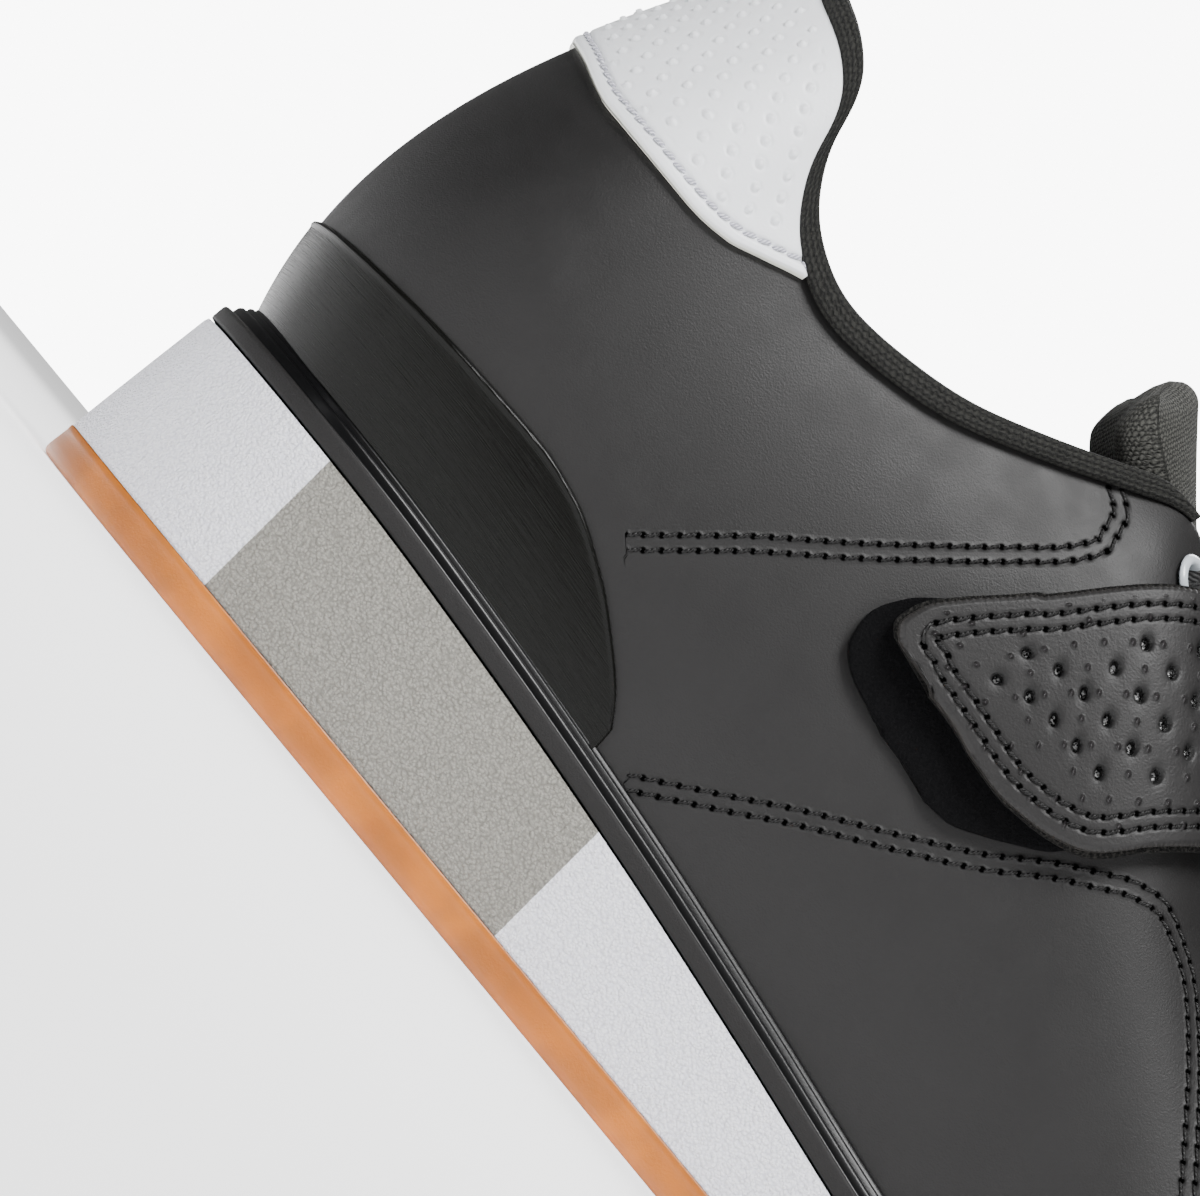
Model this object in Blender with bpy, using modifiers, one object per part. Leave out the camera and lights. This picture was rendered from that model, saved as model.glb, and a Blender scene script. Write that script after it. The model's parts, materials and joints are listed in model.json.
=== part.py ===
# Weightlifting shoe, right foot. Toe towards +X, outer (lateral) side towards -Y, up +Z.
# The origin is on the flat underside of the sole, below the arch. Lengths in metres.
import bpy
import bmesh
import numpy as np


mm = 0.001

# Main sizes
shoe_length = 290 * mm
ball_width = 106 * mm
heel_stack = 28 * mm
ball_stack = 12.5 * mm
toe_spring = 7 * mm
instep_height = 110.8 * mm
origin_along = 0.43 * shoe_length
ring_count = 72

# Sole
gum_thickness = 5.2 * mm
gum_edge_round = 0.9 * mm
midsole_taper = 0.5 * mm
joint_gap = 0.1 * mm
curved_gap = 0.3 * mm
block_rear = 0.0955 * shoe_length
block_front = 0.2945 * shoe_length
block_lean = 2.6 * mm
groove_width = 1.5 * mm
groove_depth = 1.3 * mm
groove_pitch = 13.5 * mm
zigzag_length = 10 * mm
zigzag_swing = 2.4 * mm
tread_margin = 7 * mm
heel_tread_along = 0.060 * shoe_length
ball_tread_along = 0.580 * shoe_length
grooves_each = 5

# Upper
feather_inset = 4.2 * mm
feather_lift = 0.6 * mm
heel_tuck = 3.3 * mm
wall = 2.2 * mm
overlay = 0.6 * mm
patch_thickness = 0.9 * mm
rand_height = 5.6 * mm
rand_proud = 1.0 * mm
toe_shift = 0.036 * ball_width

# Padding and lining
insole_thickness = 4.5 * mm
collar_pad = 8.6 * mm
collar_depth = 27 * mm
tongue_thickness = 6.5 * mm
tongue_rise = 19 * mm

# Strap and lace
strap_thickness = 2.6 * mm
strap_pad_thickness = 1.2 * mm
lace_width = 6.0 * mm
lace_thickness = 1.3 * mm
lace_clear = 0.6 * mm
lace_setback = 3.2 * mm
lace_over = 0.45 * mm
eyelet_rows = 5
eyelet_pitch = 19.7 * mm
eyelet_first = 5.5 * mm
eyelet_set_in = 6.5 * mm
eyelet_hole = 5.2 * mm
eyelet_flange = 8.0 * mm
eyelet_ring = 0.9 * mm

# Outline of the sole: share of length, then share of ball width out to each side.
# along, lateral, medial
sole_outline = [
    (0.000, 0.000, 0.000),
    (0.022, 0.200, 0.200),
    (0.080, 0.325, 0.315),
    (0.170, 0.365, 0.345),
    (0.300, 0.372, 0.335),
    (0.420, 0.385, 0.345),
    (0.550, 0.430, 0.395),
    (0.660, 0.485, 0.475),
    (0.740, 0.500, 0.500),
    (0.840, 0.445, 0.460),
    (0.930, 0.300, 0.365),
    (0.980, 0.130, 0.225),
    (1.000, -0.040, 0.040),
]

# Heights of the sole: share of the drop from heel to ball, share of the toe spring.
# along, stack, spring
sole_heights = [
    (0.00, 1.00, 0.00),
    (0.10, 0.97, 0.00),
    (0.20, 0.87, 0.00),
    (0.30, 0.71, 0.00),
    (0.40, 0.49, 0.00),
    (0.50, 0.24, 0.00),
    (0.60, 0.06, 0.00),
    (0.70, 0.00, 0.00),
    (0.78, 0.00, 0.06),
    (0.88, 0.00, 0.38),
    (1.00, 0.00, 1.00),
]

# The last, one row a station from heel (0) to toe (1).
# Top edge: share of length, shares of ball width, shares of instep height.
# Swell: handles of the side profile, up as a share of the rise, out as a share of ball width.
# station, along, out_lat, out_med, top_lat, top_med, low_up, low_out, high_down, high_out
last_stations = [
    (0.000, 0.053, 0.000, 0.000, 1.076, 1.076, 0.262, 0.131, 0.435, 0.170),
    (0.060, 0.059, 0.085, 0.085, 1.067, 1.067, 0.292, 0.122, 0.429, 0.153),
    (0.120, 0.073, 0.165, 0.162, 1.045, 1.047, 0.340, 0.108, 0.420, 0.126),
    (0.170, 0.090, 0.215, 0.210, 1.022, 1.026, 0.30, 0.075, 0.30, 0.100),
    (0.210, 0.107, 0.240, 0.233, 0.985, 0.993, 0.30, 0.060, 0.30, 0.075),
    (0.250, 0.120, 0.255, 0.246, 0.906, 0.925, 0.31, 0.050, 0.30, 0.060),
    (0.290, 0.145, 0.268, 0.256, 0.834, 0.860, 0.32, 0.045, 0.30, 0.060),
    (0.330, 0.181, 0.275, 0.262, 0.803, 0.830, 0.33, 0.040, 0.30, 0.065),
    (0.380, 0.236, 0.268, 0.258, 0.830, 0.852, 0.34, 0.035, 0.30, 0.080),
    (0.430, 0.290, 0.240, 0.235, 0.900, 0.915, 0.36, 0.030, 0.28, 0.110),
    (0.475, 0.332, 0.205, 0.203, 0.967, 0.972, 0.38, 0.025, 0.22, 0.150),
    (0.500, 0.357, 0.172, 0.172, 1.000, 1.000, 0.39, 0.025, 0.15, 0.180),
    (0.520, 0.382, 0.152, 0.152, 0.968, 0.968, 0.40, 0.025, 0.12, 0.190),
    (0.550, 0.432, 0.134, 0.134, 0.878, 0.878, 0.41, 0.022, 0.10, 0.200),
    (0.580, 0.490, 0.118, 0.118, 0.775, 0.775, 0.42, 0.020, 0.08, 0.210),
    (0.610, 0.554, 0.102, 0.102, 0.682, 0.682, 0.43, 0.018, 0.06, 0.225),
    (0.640, 0.615, 0.080, 0.080, 0.608, 0.608, 0.44, 0.016, 0.04, 0.240),
    (0.660, 0.643, 0.048, 0.048, 0.582, 0.582, 0.45, 0.016, 0.02, 0.250),
    (0.672, 0.650, 0.000, 0.000, 0.576, 0.576, 0.45, 0.015, 0.01, 0.255),
    (0.720, 0.700, 0.000, 0.000, 0.545, 0.545, 0.46, 0.015, 0.00, 0.240),
    (0.780, 0.756, 0.000, 0.000, 0.510, 0.510, 0.47, 0.015, 0.00, 0.215),
    (0.840, 0.806, 0.000, 0.000, 0.478, 0.478, 0.47, 0.015, 0.00, 0.190),
    (0.920, 0.855, 0.000, 0.000, 0.440, 0.440, 0.46, 0.020, 0.00, 0.165),
    (1.000, 0.885, 0.000, 0.000, 0.415, 0.415, 0.45, 0.025, 0.00, 0.150),
]
throat_end = 0.672

# Upper edge of the glossy counter panel, in shares of the heel stack.
# station, top
counter_edge = [
    (0.000, 1.69),
    (0.120, 1.73),
    (0.200, 1.77),
    (0.250, 1.78),
    (0.278, 1.74),
    (0.306, 1.59),
    (0.334, 1.30),
]

# Lower edge of the pale heel patch, in shares of the instep height.
# station, bottom
patch_edge = [
    (0.000, 0.800),
    (0.060, 0.785),
    (0.120, 0.762),
    (0.200, 0.757),
    (0.250, 0.766),
    (0.280, 0.785),
    (0.306, 0.808),
]

# Strap, one row across it from its lateral tip to its medial end: reach is the share of the
# way from the crest of the instep down to the sole, rear and front are its edges.
# reach, rear, front
strap_rows = [
    (-0.605, 97.0 * mm, 106.0 * mm),
    (-0.595, 89.0 * mm, 111.0 * mm),
    (-0.575, 87.2 * mm, 116.0 * mm),
    (-0.550, 87.6 * mm, 120.5 * mm),
    (-0.510, 90.3 * mm, 125.2 * mm),
    (-0.457, 94.0 * mm, 128.3 * mm),
    (-0.310, 104.0 * mm, 136.0 * mm),
    (-0.200, 110.5 * mm, 141.0 * mm),
    (0.000, 117.0 * mm, 146.5 * mm),
    (0.200, 110.5 * mm, 141.0 * mm),
    (0.457, 94.0 * mm, 128.3 * mm),
    (0.650, 86.0 * mm, 119.0 * mm),
    (0.900, 81.0 * mm, 112.0 * mm),
]
# reach, rear, front
strap_pad_rows = [
    (-0.672, 95.0 * mm, 107.0 * mm),
    (-0.657, 88.5 * mm, 111.0 * mm),
    (-0.630, 85.0 * mm, 114.5 * mm),
    (-0.590, 84.0 * mm, 118.7 * mm),
    (-0.550, 85.6 * mm, 122.3 * mm),
    (-0.500, 90.5 * mm, 124.8 * mm),
    (-0.450, 95.0 * mm, 127.0 * mm),
]
# Height of the underside of the strap above the upper.
# reach, lift
strap_lift = [
    (-0.61, 2.2 * mm),
    (-0.42, 2.3 * mm),
    (-0.25, 3.0 * mm),
    (0.25, 3.0 * mm),
    (0.42, 0.6 * mm),
    (0.92, 0.5 * mm),
]

# Section of the padded collar roll: depth below the edge of the upper, and offset from its
# outer face. Depth of the inner rows as a share of the collar depth, offset of the inner
# face as a share of the pad thickness.
# depth, depth_share, offset, pad_share
collar_section = [
    (0.8 * mm, 0.0, 0.45 * mm, 0.0),
    (0.8 * mm, 0.0, 1.5 * mm, 0.0),
    (-1.2 * mm, 0.0, 2.0 * mm, 0.0),
    (-2.6 * mm, 0.0, 1.5 * mm, 0.0),
    (-3.3 * mm, 0.0, 0.0, 0.0),
    (-3.4 * mm, 0.0, -2.6 * mm, 0.0),
    (-2.4 * mm, 0.0, -2.8 * mm, 0.45),
    (0.0, 0.02, -2.6 * mm, 0.80),
    (0.0, 0.25, -2.6 * mm, 1.00),
    (0.0, 0.60, -2.6 * mm, 0.85),
    (0.0, 0.96, -2.6 * mm, 0.28),
    (0.0, 1.00, -2.8 * mm, 0.00),
    (0.0, 0.50, -2.8 * mm, 0.00),
    (-0.9 * mm, 0.0, -2.9 * mm, 0.0),
    (-0.9 * mm, 0.0, 0.45 * mm, 0.0),
]
# station, share of the pad thickness, share of the collar depth
collar_padding = [
    (0.00, 0.75, 1.00),
    (0.15, 1.00, 1.00),
    (0.30, 0.90, 0.85),
    (0.38, 0.55, 0.60),
    (0.44, 0.16, 0.26),
    (0.48, 0.12, 0.16),
]
collar_end = 0.4723

# Colours, roughness
finishes = {
    "gum_rubber": ((0.66, 0.33, 0.12), 0.45),
    "white_foam": ((0.70, 0.70, 0.74), 0.62),
    "grey_foam": ((0.36, 0.35, 0.32), 0.66),
    "rand_rubber": ((0.012, 0.012, 0.012), 0.38),
    "black_leather": ((0.036, 0.034, 0.034), 0.50),
    "gloss_film": ((0.014, 0.014, 0.013), 0.22),
    "white_leather": ((0.72, 0.73, 0.74), 0.45),
    "black_knit": ((0.020, 0.020, 0.018), 0.85),
    "tongue_mesh": ((0.030, 0.030, 0.032), 0.88),
    "footbed_cloth": ((0.045, 0.045, 0.045), 0.90),
    "strap_leather": ((0.050, 0.046, 0.048), 0.50),
    "loop_tape": ((0.008, 0.008, 0.009), 0.95),
    "lace_knit": ((0.022, 0.022, 0.022), 0.85),
    "eyelet_grey": ((0.56, 0.60, 0.63), 0.35),
}


def smooth_curve(knots, values, at):
    # Curve through the rows of a table that never overshoots them.
    x, y = np.asarray(knots, float), np.asarray(values, float)
    h = np.diff(x)
    d = np.diff(y) / h
    m = np.zeros_like(y)
    w1, w2 = 2 * h[1:] + h[:-1], h[1:] + 2 * h[:-1]
    rising = d[:-1] * d[1:] > 0
    a = np.where(rising, d[:-1], 1.0)
    b = np.where(rising, d[1:], 1.0)
    m[1:-1] = np.where(rising, (w1 + w2) / (w1 / a + w2 / b), 0.0)
    m[0], m[-1] = d[0], d[-1]
    at = np.clip(at, x[0], x[-1])
    i = np.clip(np.searchsorted(x, at, side="right") - 1, 0, len(h) - 1)
    s = (at - x[i]) / h[i]
    rise = (2 * s**3 - 3 * s**2 + 1) * y[i] + (3 * s**2 - 2 * s**3) * y[i + 1]
    return rise + (s**3 - 2 * s**2 + s) * h[i] * m[i] + (s**3 - s**2) * h[i] * m[i + 1]


def around(stations, lateral, medial, w, soften=0.012):
    # Value at signed station w (lateral below zero, medial above), closed round the toe.
    s = np.asarray(stations, float)
    knots = np.r_[-s[::-1], s[1:]]
    values = np.r_[np.asarray(lateral, float)[::-1], np.asarray(medial, float)[1:]]
    knots = np.r_[knots[:-1] - 2, knots, knots[1:] + 2]
    values = np.r_[values[:-1], values, values[1:]]
    shifts = np.linspace(-1, 1, 7) * soften
    return np.mean([smooth_curve(knots, values, np.asarray(w) + k) for k in shifts], axis=0)


def plan(w, inset=0.0):
    # Point of the sole outline at station w, moved in by the inset, and the outward direction.
    rows = np.array(sole_outline)
    station = np.arccos(1 - 2 * rows[:, 0]) / np.pi
    w = np.asarray(w, float)

    def at(v):
        x = shoe_length * (1 - np.cos(np.pi * v)) / 2
        y = ball_width * around(station, -rows[:, 1], rows[:, 2], v)
        return np.stack([x, y], -1)

    d = at(w + 1e-4) - at(w - 1e-4)
    n = np.stack([-d[..., 1], d[..., 0]], -1)
    n = n / np.linalg.norm(n, axis=-1, keepdims=True)
    return at(w) - np.asarray(inset)[..., None] * n, n


def floor_height(x):
    rows = np.array(sole_heights)
    return toe_spring * smooth_curve(rows[:, 0], rows[:, 2], x / shoe_length)


def midsole_top(x):
    rows = np.array(sole_heights)
    drop = smooth_curve(rows[:, 0], rows[:, 1], x / shoe_length)
    return ball_stack + (heel_stack - ball_stack) * drop + floor_height(x)


def feather(w):
    # Inset of the upper's foot from the sole outline, larger round the back of the heel.
    near = np.clip(1 - np.abs(w) / 0.2, 0, 1)
    return feather_inset + heel_tuck * near * near * (3 - 2 * near)


def last_point(w, t):
    # Outer face of the upper: t runs from the feather line (0) to the top edge (1).
    w, t = np.broadcast_arrays(np.asarray(w, float), np.asarray(t, float))
    c = np.array(last_stations)

    def get(i, j):
        return around(c[:, 0], c[:, i], c[:, j], w)

    ridge = toe_shift * np.clip((np.abs(w) - 0.66) / 0.34, 0, 1)
    top = np.stack([
        shoe_length * get(1, 1),
        ball_width * around(c[:, 0], -c[:, 2], c[:, 3], w) + ridge,
        instep_height * get(4, 5),
    ], -1)
    foot, n = plan(w, feather(w))
    base = np.concatenate([foot, (midsole_top(foot[..., 0]) + feather_lift)[..., None]], -1)
    rise = (top - base)[..., 2:]
    out = np.concatenate([n, 0 * n[..., :1]], -1)
    up = np.array([0.0, 0.0, 1.0])
    low = base + get(6, 6)[..., None] * rise * up + ball_width * get(7, 7)[..., None] * out
    high = top - get(8, 8)[..., None] * rise * up + ball_width * get(9, 9)[..., None] * out
    # Beyond the throat the two sides meet on a ridge, and both leave it in its own plane.
    ahead = np.abs(w)
    fall = around(c[:, 0], c[:, 4], c[:, 5], np.minimum(ahead + 0.01, 0.99))
    fall = fall - around(c[:, 0], c[:, 4], c[:, 5], np.minimum(ahead + 0.01, 0.99) - 0.02)
    run = around(c[:, 0], c[:, 1], c[:, 1], np.minimum(ahead + 0.01, 0.99))
    run = run - around(c[:, 0], c[:, 1], c[:, 1], np.minimum(ahead + 0.01, 0.99) - 0.02)
    slope = instep_height * fall / (shoe_length * run + 1e-9)
    joined = np.clip((ahead - throat_end + 0.02) / 0.02, 0, 1)
    high[..., 2] += joined * slope * (high - top)[..., 0]
    a = t[..., None]
    return (1 - a)**3 * base + 3 * a * (1 - a)**2 * low + 3 * a**2 * (1 - a) * high + a**3 * top


def last_normal(w, t):
    e = 1e-3
    t = np.asarray(t, float)
    across = last_point(w + e, t) - last_point(w - e, t)
    upward = last_point(w, np.minimum(t + e, 1)) - last_point(w, np.maximum(t - e, 0))
    n = np.cross(upward, across)
    return n / (np.linalg.norm(n, axis=-1, keepdims=True) + 1e-12)


def upper_at(w, t, offset=0.0):
    return last_point(w, t) + offset * last_normal(w, t)


def share_at_height(w, height):
    # Share t up the side profile at which the upper reaches a height above the floor.
    ts = np.linspace(0, 1, 160)
    return np.array([np.interp(h, last_point(s, ts)[:, 2], ts) for s, h in zip(w, height)])


def share_at_depth(w, depth):
    # Share t at a depth along the surface below the top edge.
    ts = np.linspace(1, 0.3, 120)
    found = []
    for s, d in zip(w, depth):
        p = last_point(s, ts)
        run = np.r_[0, np.cumsum(np.linalg.norm(np.diff(p, axis=0), axis=1))]
        found.append(np.interp(d, run, ts))
    return np.array(found)


def edge_point(w, depth, offset):
    # Point near the top edge: depth below it (above it when negative), offset outwards.
    w = np.asarray(w, float)
    t = share_at_depth(w, np.maximum(np.broadcast_to(depth, w.shape), 0))
    p = upper_at(w, t, np.asarray(offset)[..., None] if np.ndim(offset) else offset)
    beyond = np.maximum(-np.broadcast_to(depth, w.shape), 0)[:, None]
    rise = last_point(w, 1.0) - last_point(w, 0.97)
    rise = rise / np.linalg.norm(rise, axis=-1, keepdims=True)
    lean = np.array([0.0, 0.0, 1.0])
    rise = rise + lean
    return p + beyond * rise / np.linalg.norm(rise, axis=-1, keepdims=True)


# Cross sections of the instep at a given distance along the shoe, used by what lies on it
profile_rows = np.linspace(0, 1, 41)
side_stations = np.linspace(0.16, 0.78, 160)
side_grid = {
    side: last_point(side * side_stations[:, None], profile_rows[None, :]) for side in (-1, 1)
}


def section_line(x):
    # Outer line of the section: lateral base, throat edge, arc over the tongue, medial base.
    sides = []
    for side in (-1, 1):
        g = side_grid[side]
        y = [np.interp(x, g[:, j, 0], g[:, j, 1]) for j in range(len(profile_rows))]
        z = [np.interp(x, g[:, j, 0], g[:, j, 2]) for j in range(len(profile_rows))]
        sides.append(np.stack([y, z], -1))
    lat, med = sides
    gap = np.linalg.norm(lat[-1] - med[-1])
    a = lat[-1] - lat[-3]
    b = med[-1] - med[-3]
    h0 = lat[-1] + a / np.linalg.norm(a) * gap * 0.34
    h1 = med[-1] + b / np.linalg.norm(b) * gap * 0.34
    s = np.linspace(0, 1, 25)[1:-1, None]
    arc = (1 - s)**3 * lat[-1] + 3 * s * (1 - s)**2 * h0 + 3 * s**2 * (1 - s) * h1 + s**3 * med[-1]
    return np.concatenate([lat, arc, med[::-1]])


def instep_point(x, a):
    # Point at distance x along the shoe and arc length a from the crest (lateral negative).
    x, a = np.broadcast_arrays(np.asarray(x, float), np.asarray(a, float))
    out = np.empty(x.shape + (3,))
    for i in np.ndindex(x.shape):
        line = section_line(x[i])
        run = np.r_[0, np.cumsum(np.linalg.norm(np.diff(line, axis=0), axis=1))]
        k = np.argmax(line[:, 1])
        run = run - run[k]
        out[i] = (x[i], np.interp(a[i], run, line[:, 0]), np.interp(a[i], run, line[:, 1]))
    return out


def girth(x, side):
    # Arc length from the crest of the instep down to the feather line, on one side.
    at = np.linspace(70 * mm, 200 * mm, 27)
    reach = []
    for v in at:
        line = section_line(v)
        steps = np.linalg.norm(np.diff(line, axis=0), axis=1)
        k = np.argmax(line[:, 1])
        reach.append(steps[:k].sum() if side < 0 else steps[k:].sum())
    return np.interp(x, at, reach)


def instep_at(x, a, offset):
    e = 1.5 * mm
    along = instep_point(x + e, a) - instep_point(x - e, a)
    across = instep_point(x, a + e) - instep_point(x, a - e)
    n = np.cross(along, across)
    n = n / np.linalg.norm(n, axis=-1, keepdims=True)
    return instep_point(x, a) + np.asarray(offset)[..., None] * n


# Mesh helpers
def start_scene():
    for old in list(bpy.data.objects):
        bpy.data.objects.remove(old, do_unlink=True)
    shoe = bpy.data.collections.new("weightlifting_shoe")
    cutters = bpy.data.collections.new("cutters")
    bpy.context.scene.collection.children.link(shoe)
    bpy.context.scene.collection.children.link(cutters)
    return shoe, cutters


def material(name):
    if name in bpy.data.materials:
        return bpy.data.materials[name]
    colour, roughness = finishes[name]
    made = bpy.data.materials.new(name)
    made.use_nodes = True
    shader = made.node_tree.nodes["Principled BSDF"]
    shader.inputs["Base Color"].default_value = (*colour, 1)
    shader.inputs["Roughness"].default_value = roughness
    shader.inputs["Metallic"].default_value = 0.0
    made.diffuse_color = (*colour, 1)
    return made


def solid(name, verts, faces, finish=None, into=None, merge=1e-7):
    verts = np.asarray(verts, float).reshape(-1, 3) - np.array([origin_along, 0, 0])
    mesh = bpy.data.meshes.new(name)
    mesh.from_pydata(verts.tolist(), [], [list(f) for f in faces])
    body = bmesh.new()
    body.from_mesh(mesh)
    bmesh.ops.remove_doubles(body, verts=body.verts, dist=merge)
    bmesh.ops.dissolve_degenerate(body, edges=body.edges, dist=merge)
    bmesh.ops.recalc_face_normals(body, faces=body.faces)
    body.to_mesh(mesh)
    body.free()
    made = bpy.data.objects.new(name, mesh)
    (into or shoe).objects.link(made)
    if finish:
        mesh.materials.append(material(finish))
        mesh.polygons.foreach_set("use_smooth", [True] * len(mesh.polygons))
    else:
        made.hide_render = True
        made.display_type = "WIRE"
    return made


def bake(thing):
    # Replaces the mesh of an object by its mesh with the modifiers applied.
    bpy.context.view_layer.update()
    graph = bpy.context.evaluated_depsgraph_get()
    mesh = bpy.data.meshes.new_from_object(thing.evaluated_get(graph))
    thing.modifiers.clear()
    thing.data = mesh
    return thing


def cut(thing, tool, how="DIFFERENCE"):
    step = thing.modifiers.new(how.lower(), "BOOLEAN")
    step.operation = how
    step.solver = "EXACT"
    step.object = tool
    return bake(thing)


def ring_faces(rings, count, closed=False):
    faces = []
    for r in range(rings if closed else rings - 1):
        a, b = r * count, ((r + 1) % rings) * count
        for i in range(count):
            j = (i + 1) % count
            faces.append((a + i, a + j, b + j, b + i))
    return faces


def ladder(start, count):
    # Cap of a ring of points mirrored about its first one: strips from side to side.
    faces = []
    half = count // 2
    for i in range(half):
        quad = (start + i, start + i + 1, start + (count - i - 1) % count, start + (count - i) % count)
        faces.append(tuple(dict.fromkeys(quad)))
    return faces


def slab(name, rings, finish, into=None):
    # Solid between stacked rings, closed below and above.
    count = len(rings[0])
    faces = ring_faces(len(rings), count)
    faces += ladder(0, count) + ladder((len(rings) - 1) * count, count)
    return solid(name, np.concatenate(rings), faces, finish, into)


def shell(name, outer, inner, finish):
    # Solid sheet between two grids of the same size.
    rows, cols = outer.shape[:2]
    size = rows * cols
    faces = []
    for i in range(rows - 1):
        for j in range(cols - 1):
            k = i * cols + j
            faces.append((k, k + 1, k + cols + 1, k + cols))
            faces.append((size + k, size + k + cols, size + k + cols + 1, size + k + 1))
    rim = [i * cols for i in range(rows)]
    rim += [(rows - 1) * cols + j for j in range(1, cols)]
    rim += [i * cols + cols - 1 for i in range(rows - 2, -1, -1)]
    rim += [j for j in range(cols - 2, 0, -1)]
    for a, b in zip(rim, rim[1:] + rim[:1]):
        faces.append((a, b, size + b, size + a))
    return solid(name, np.concatenate([outer.reshape(-1, 3), inner.reshape(-1, 3)]), faces, finish)


def stations(count):
    # Stations once round the shoe, starting at the heel centre.
    w = np.linspace(0, 2, count, endpoint=False)
    return np.where(w > 1, w - 2, w)


def near_stations(reach):
    # Stations of the heel part, the same ones as those of the whole ring.
    step = 2 / ring_count
    k = int(reach / step + 1e-6)
    return np.arange(-k, k + 1) * step


def level_ring(w, inset, height):
    p, n = plan(w, inset)
    return np.concatenate([p, height(p[:, 0])[:, None]], -1)


shoe, cutters = start_scene()
ring = stations(ring_count)

# Outsole of gum rubber with zigzag tread grooves
outsole = slab("outsole", [
    level_ring(ring, gum_edge_round * 1.6, floor_height),
    level_ring(ring, gum_edge_round * 0.5, lambda x: floor_height(x) + gum_edge_round * 0.35),
    level_ring(ring, 0.0, lambda x: floor_height(x) + gum_edge_round * 1.3),
    level_ring(ring, 0.0, lambda x: floor_height(x) + gum_thickness),
], "gum_rubber")


def half_widths(x):
    w = np.linspace(0.02, 0.98, 300)
    reach = []
    for side in (-1, 1):
        p, n = plan(side * w, 0.0)
        reach.append(np.interp(x, p[:, 0], p[:, 1]))
    return reach


def zigzag_groove(x):
    lat, med = half_widths(x)
    y = np.arange(lat + tread_margin, med - tread_margin, zigzag_length / 2)
    y = y + (med + lat - y[0] - y[-1]) / 2
    swing = np.where(np.arange(len(y)) % 2, zigzag_swing / 2, -zigzag_swing / 2)
    top = floor_height(x) + groove_depth
    rings = []
    for side, level in ((-1, -1 * mm), (1, -1 * mm), (1, top), (-1, top)):
        rings.append(np.stack([x + swing + side * groove_width / 2, y, 0 * y + level], -1))
    count = len(y)
    verts = np.concatenate(rings)
    faces = []
    for r in range(4):
        a, b = r * count, (r + 1) % 4 * count
        faces += [(a + i, a + i + 1, b + i + 1, b + i) for i in range(count - 1)]
    faces += [(0, count, 2 * count, 3 * count)]
    faces += [(count - 1, 4 * count - 1, 3 * count - 1, 2 * count - 1)]
    return solid("zigzag_cutter", verts, faces, None, cutters)


for start in (heel_tread_along, ball_tread_along):
    for k in range(grooves_each):
        cut(outsole, zigzag_groove(start + (k + 0.5) * groove_pitch))

# Midsole: one moulded wedge, made as a pale heel, a grey block and a pale front
gum_top = gum_thickness + joint_gap
wedge_rings = [
    level_ring(ring, midsole_taper * 0.2, lambda x: floor_height(x) + gum_top),
    level_ring(ring, midsole_taper * 1.0, lambda x: midsole_top(x)),
]


def cut_box(name, rear, front):
    # Box whose end faces lean forward with height, between two places along the sole.
    low, high, side = -1 * mm, 40 * mm, ball_width
    verts = []
    for z in (low, high):
        lean = block_lean * z / heel_stack
        for x, y in ((rear, -side), (front, -side), (front, side), (rear, side)):
            verts.append((x - lean, y, z))
    faces = [(0, 1, 2, 3), (4, 5, 6, 7), (0, 1, 5, 4), (1, 2, 6, 5), (2, 3, 7, 6), (3, 0, 4, 7)]
    return solid(name, verts, faces, None, cutters)


far = shoe_length
for name, rear, front, finish in (
    ("midsole_heel", -far, block_rear - joint_gap, "white_foam"),
    ("midsole_block", block_rear, block_front, "grey_foam"),
    ("midsole_front", block_front + joint_gap, 2 * far, "white_foam"),
):
    cut(slab(name, wedge_rings, finish), cut_box(name + "_cutter", rear, front), "INTERSECT")

# Upper: one hollow wall, open at the collar, the throat and underneath
columns, rows = ring_count, 11
w_upper = stations(columns)
t_upper = np.sin(np.linspace(0, 1, rows) * np.pi / 2)**0.9
grid = last_point(w_upper[None, :], t_upper[:, None])
closed = np.abs(w_upper) >= throat_end - 1e-6
crest = grid[-1].copy()
partner = (-np.arange(columns)) % columns
grid[-1] = np.where(closed[:, None], (crest + crest[partner]) / 2, crest)
upper = solid("upper", grid, ring_faces(rows, columns), "black_leather", merge=2e-5)
first = upper.data.polygons[0]
if first.normal.x * 1.0 > 0:
    upper.data.flip_normals()
thick = upper.modifiers.new("wall", "SOLIDIFY")
thick.thickness = wall
thick.offset = -1.0
thick.use_even_offset = False
thick.use_rim = True
bake(upper)

# Eyelets: rows along the throat, measured from its top corner
throat_w = np.linspace(0.5, throat_end, 200)


def eyelet_frame(side, row):
    edge = last_point(side * throat_w, 1.0)
    run = np.r_[0, np.cumsum(np.linalg.norm(np.diff(edge, axis=0), axis=1))]
    w = side * np.interp(eyelet_first + row * eyelet_pitch, run, throat_w)
    t = share_at_depth([w], [eyelet_set_in])[0]
    return last_point(w, t), last_normal(w, t)


def turned(name, centre, axis, profile, count, finish, into=None):
    # Closed ring turned about an axis; profile rows hold radius and height.
    side = np.cross(axis, (0.0, 1.0, 0.0))
    side = side / np.linalg.norm(side)
    other = np.cross(axis, side)
    rings = []
    angle = np.arange(count) * 2 * np.pi / count
    for radius, height in profile:
        circle = np.cos(angle)[:, None] * side + np.sin(angle)[:, None] * other
        rings.append(centre + radius * circle + height * axis)
    faces = ring_faces(len(profile), count, closed=True)
    return solid(name, np.concatenate(rings), faces, finish, into)


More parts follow.
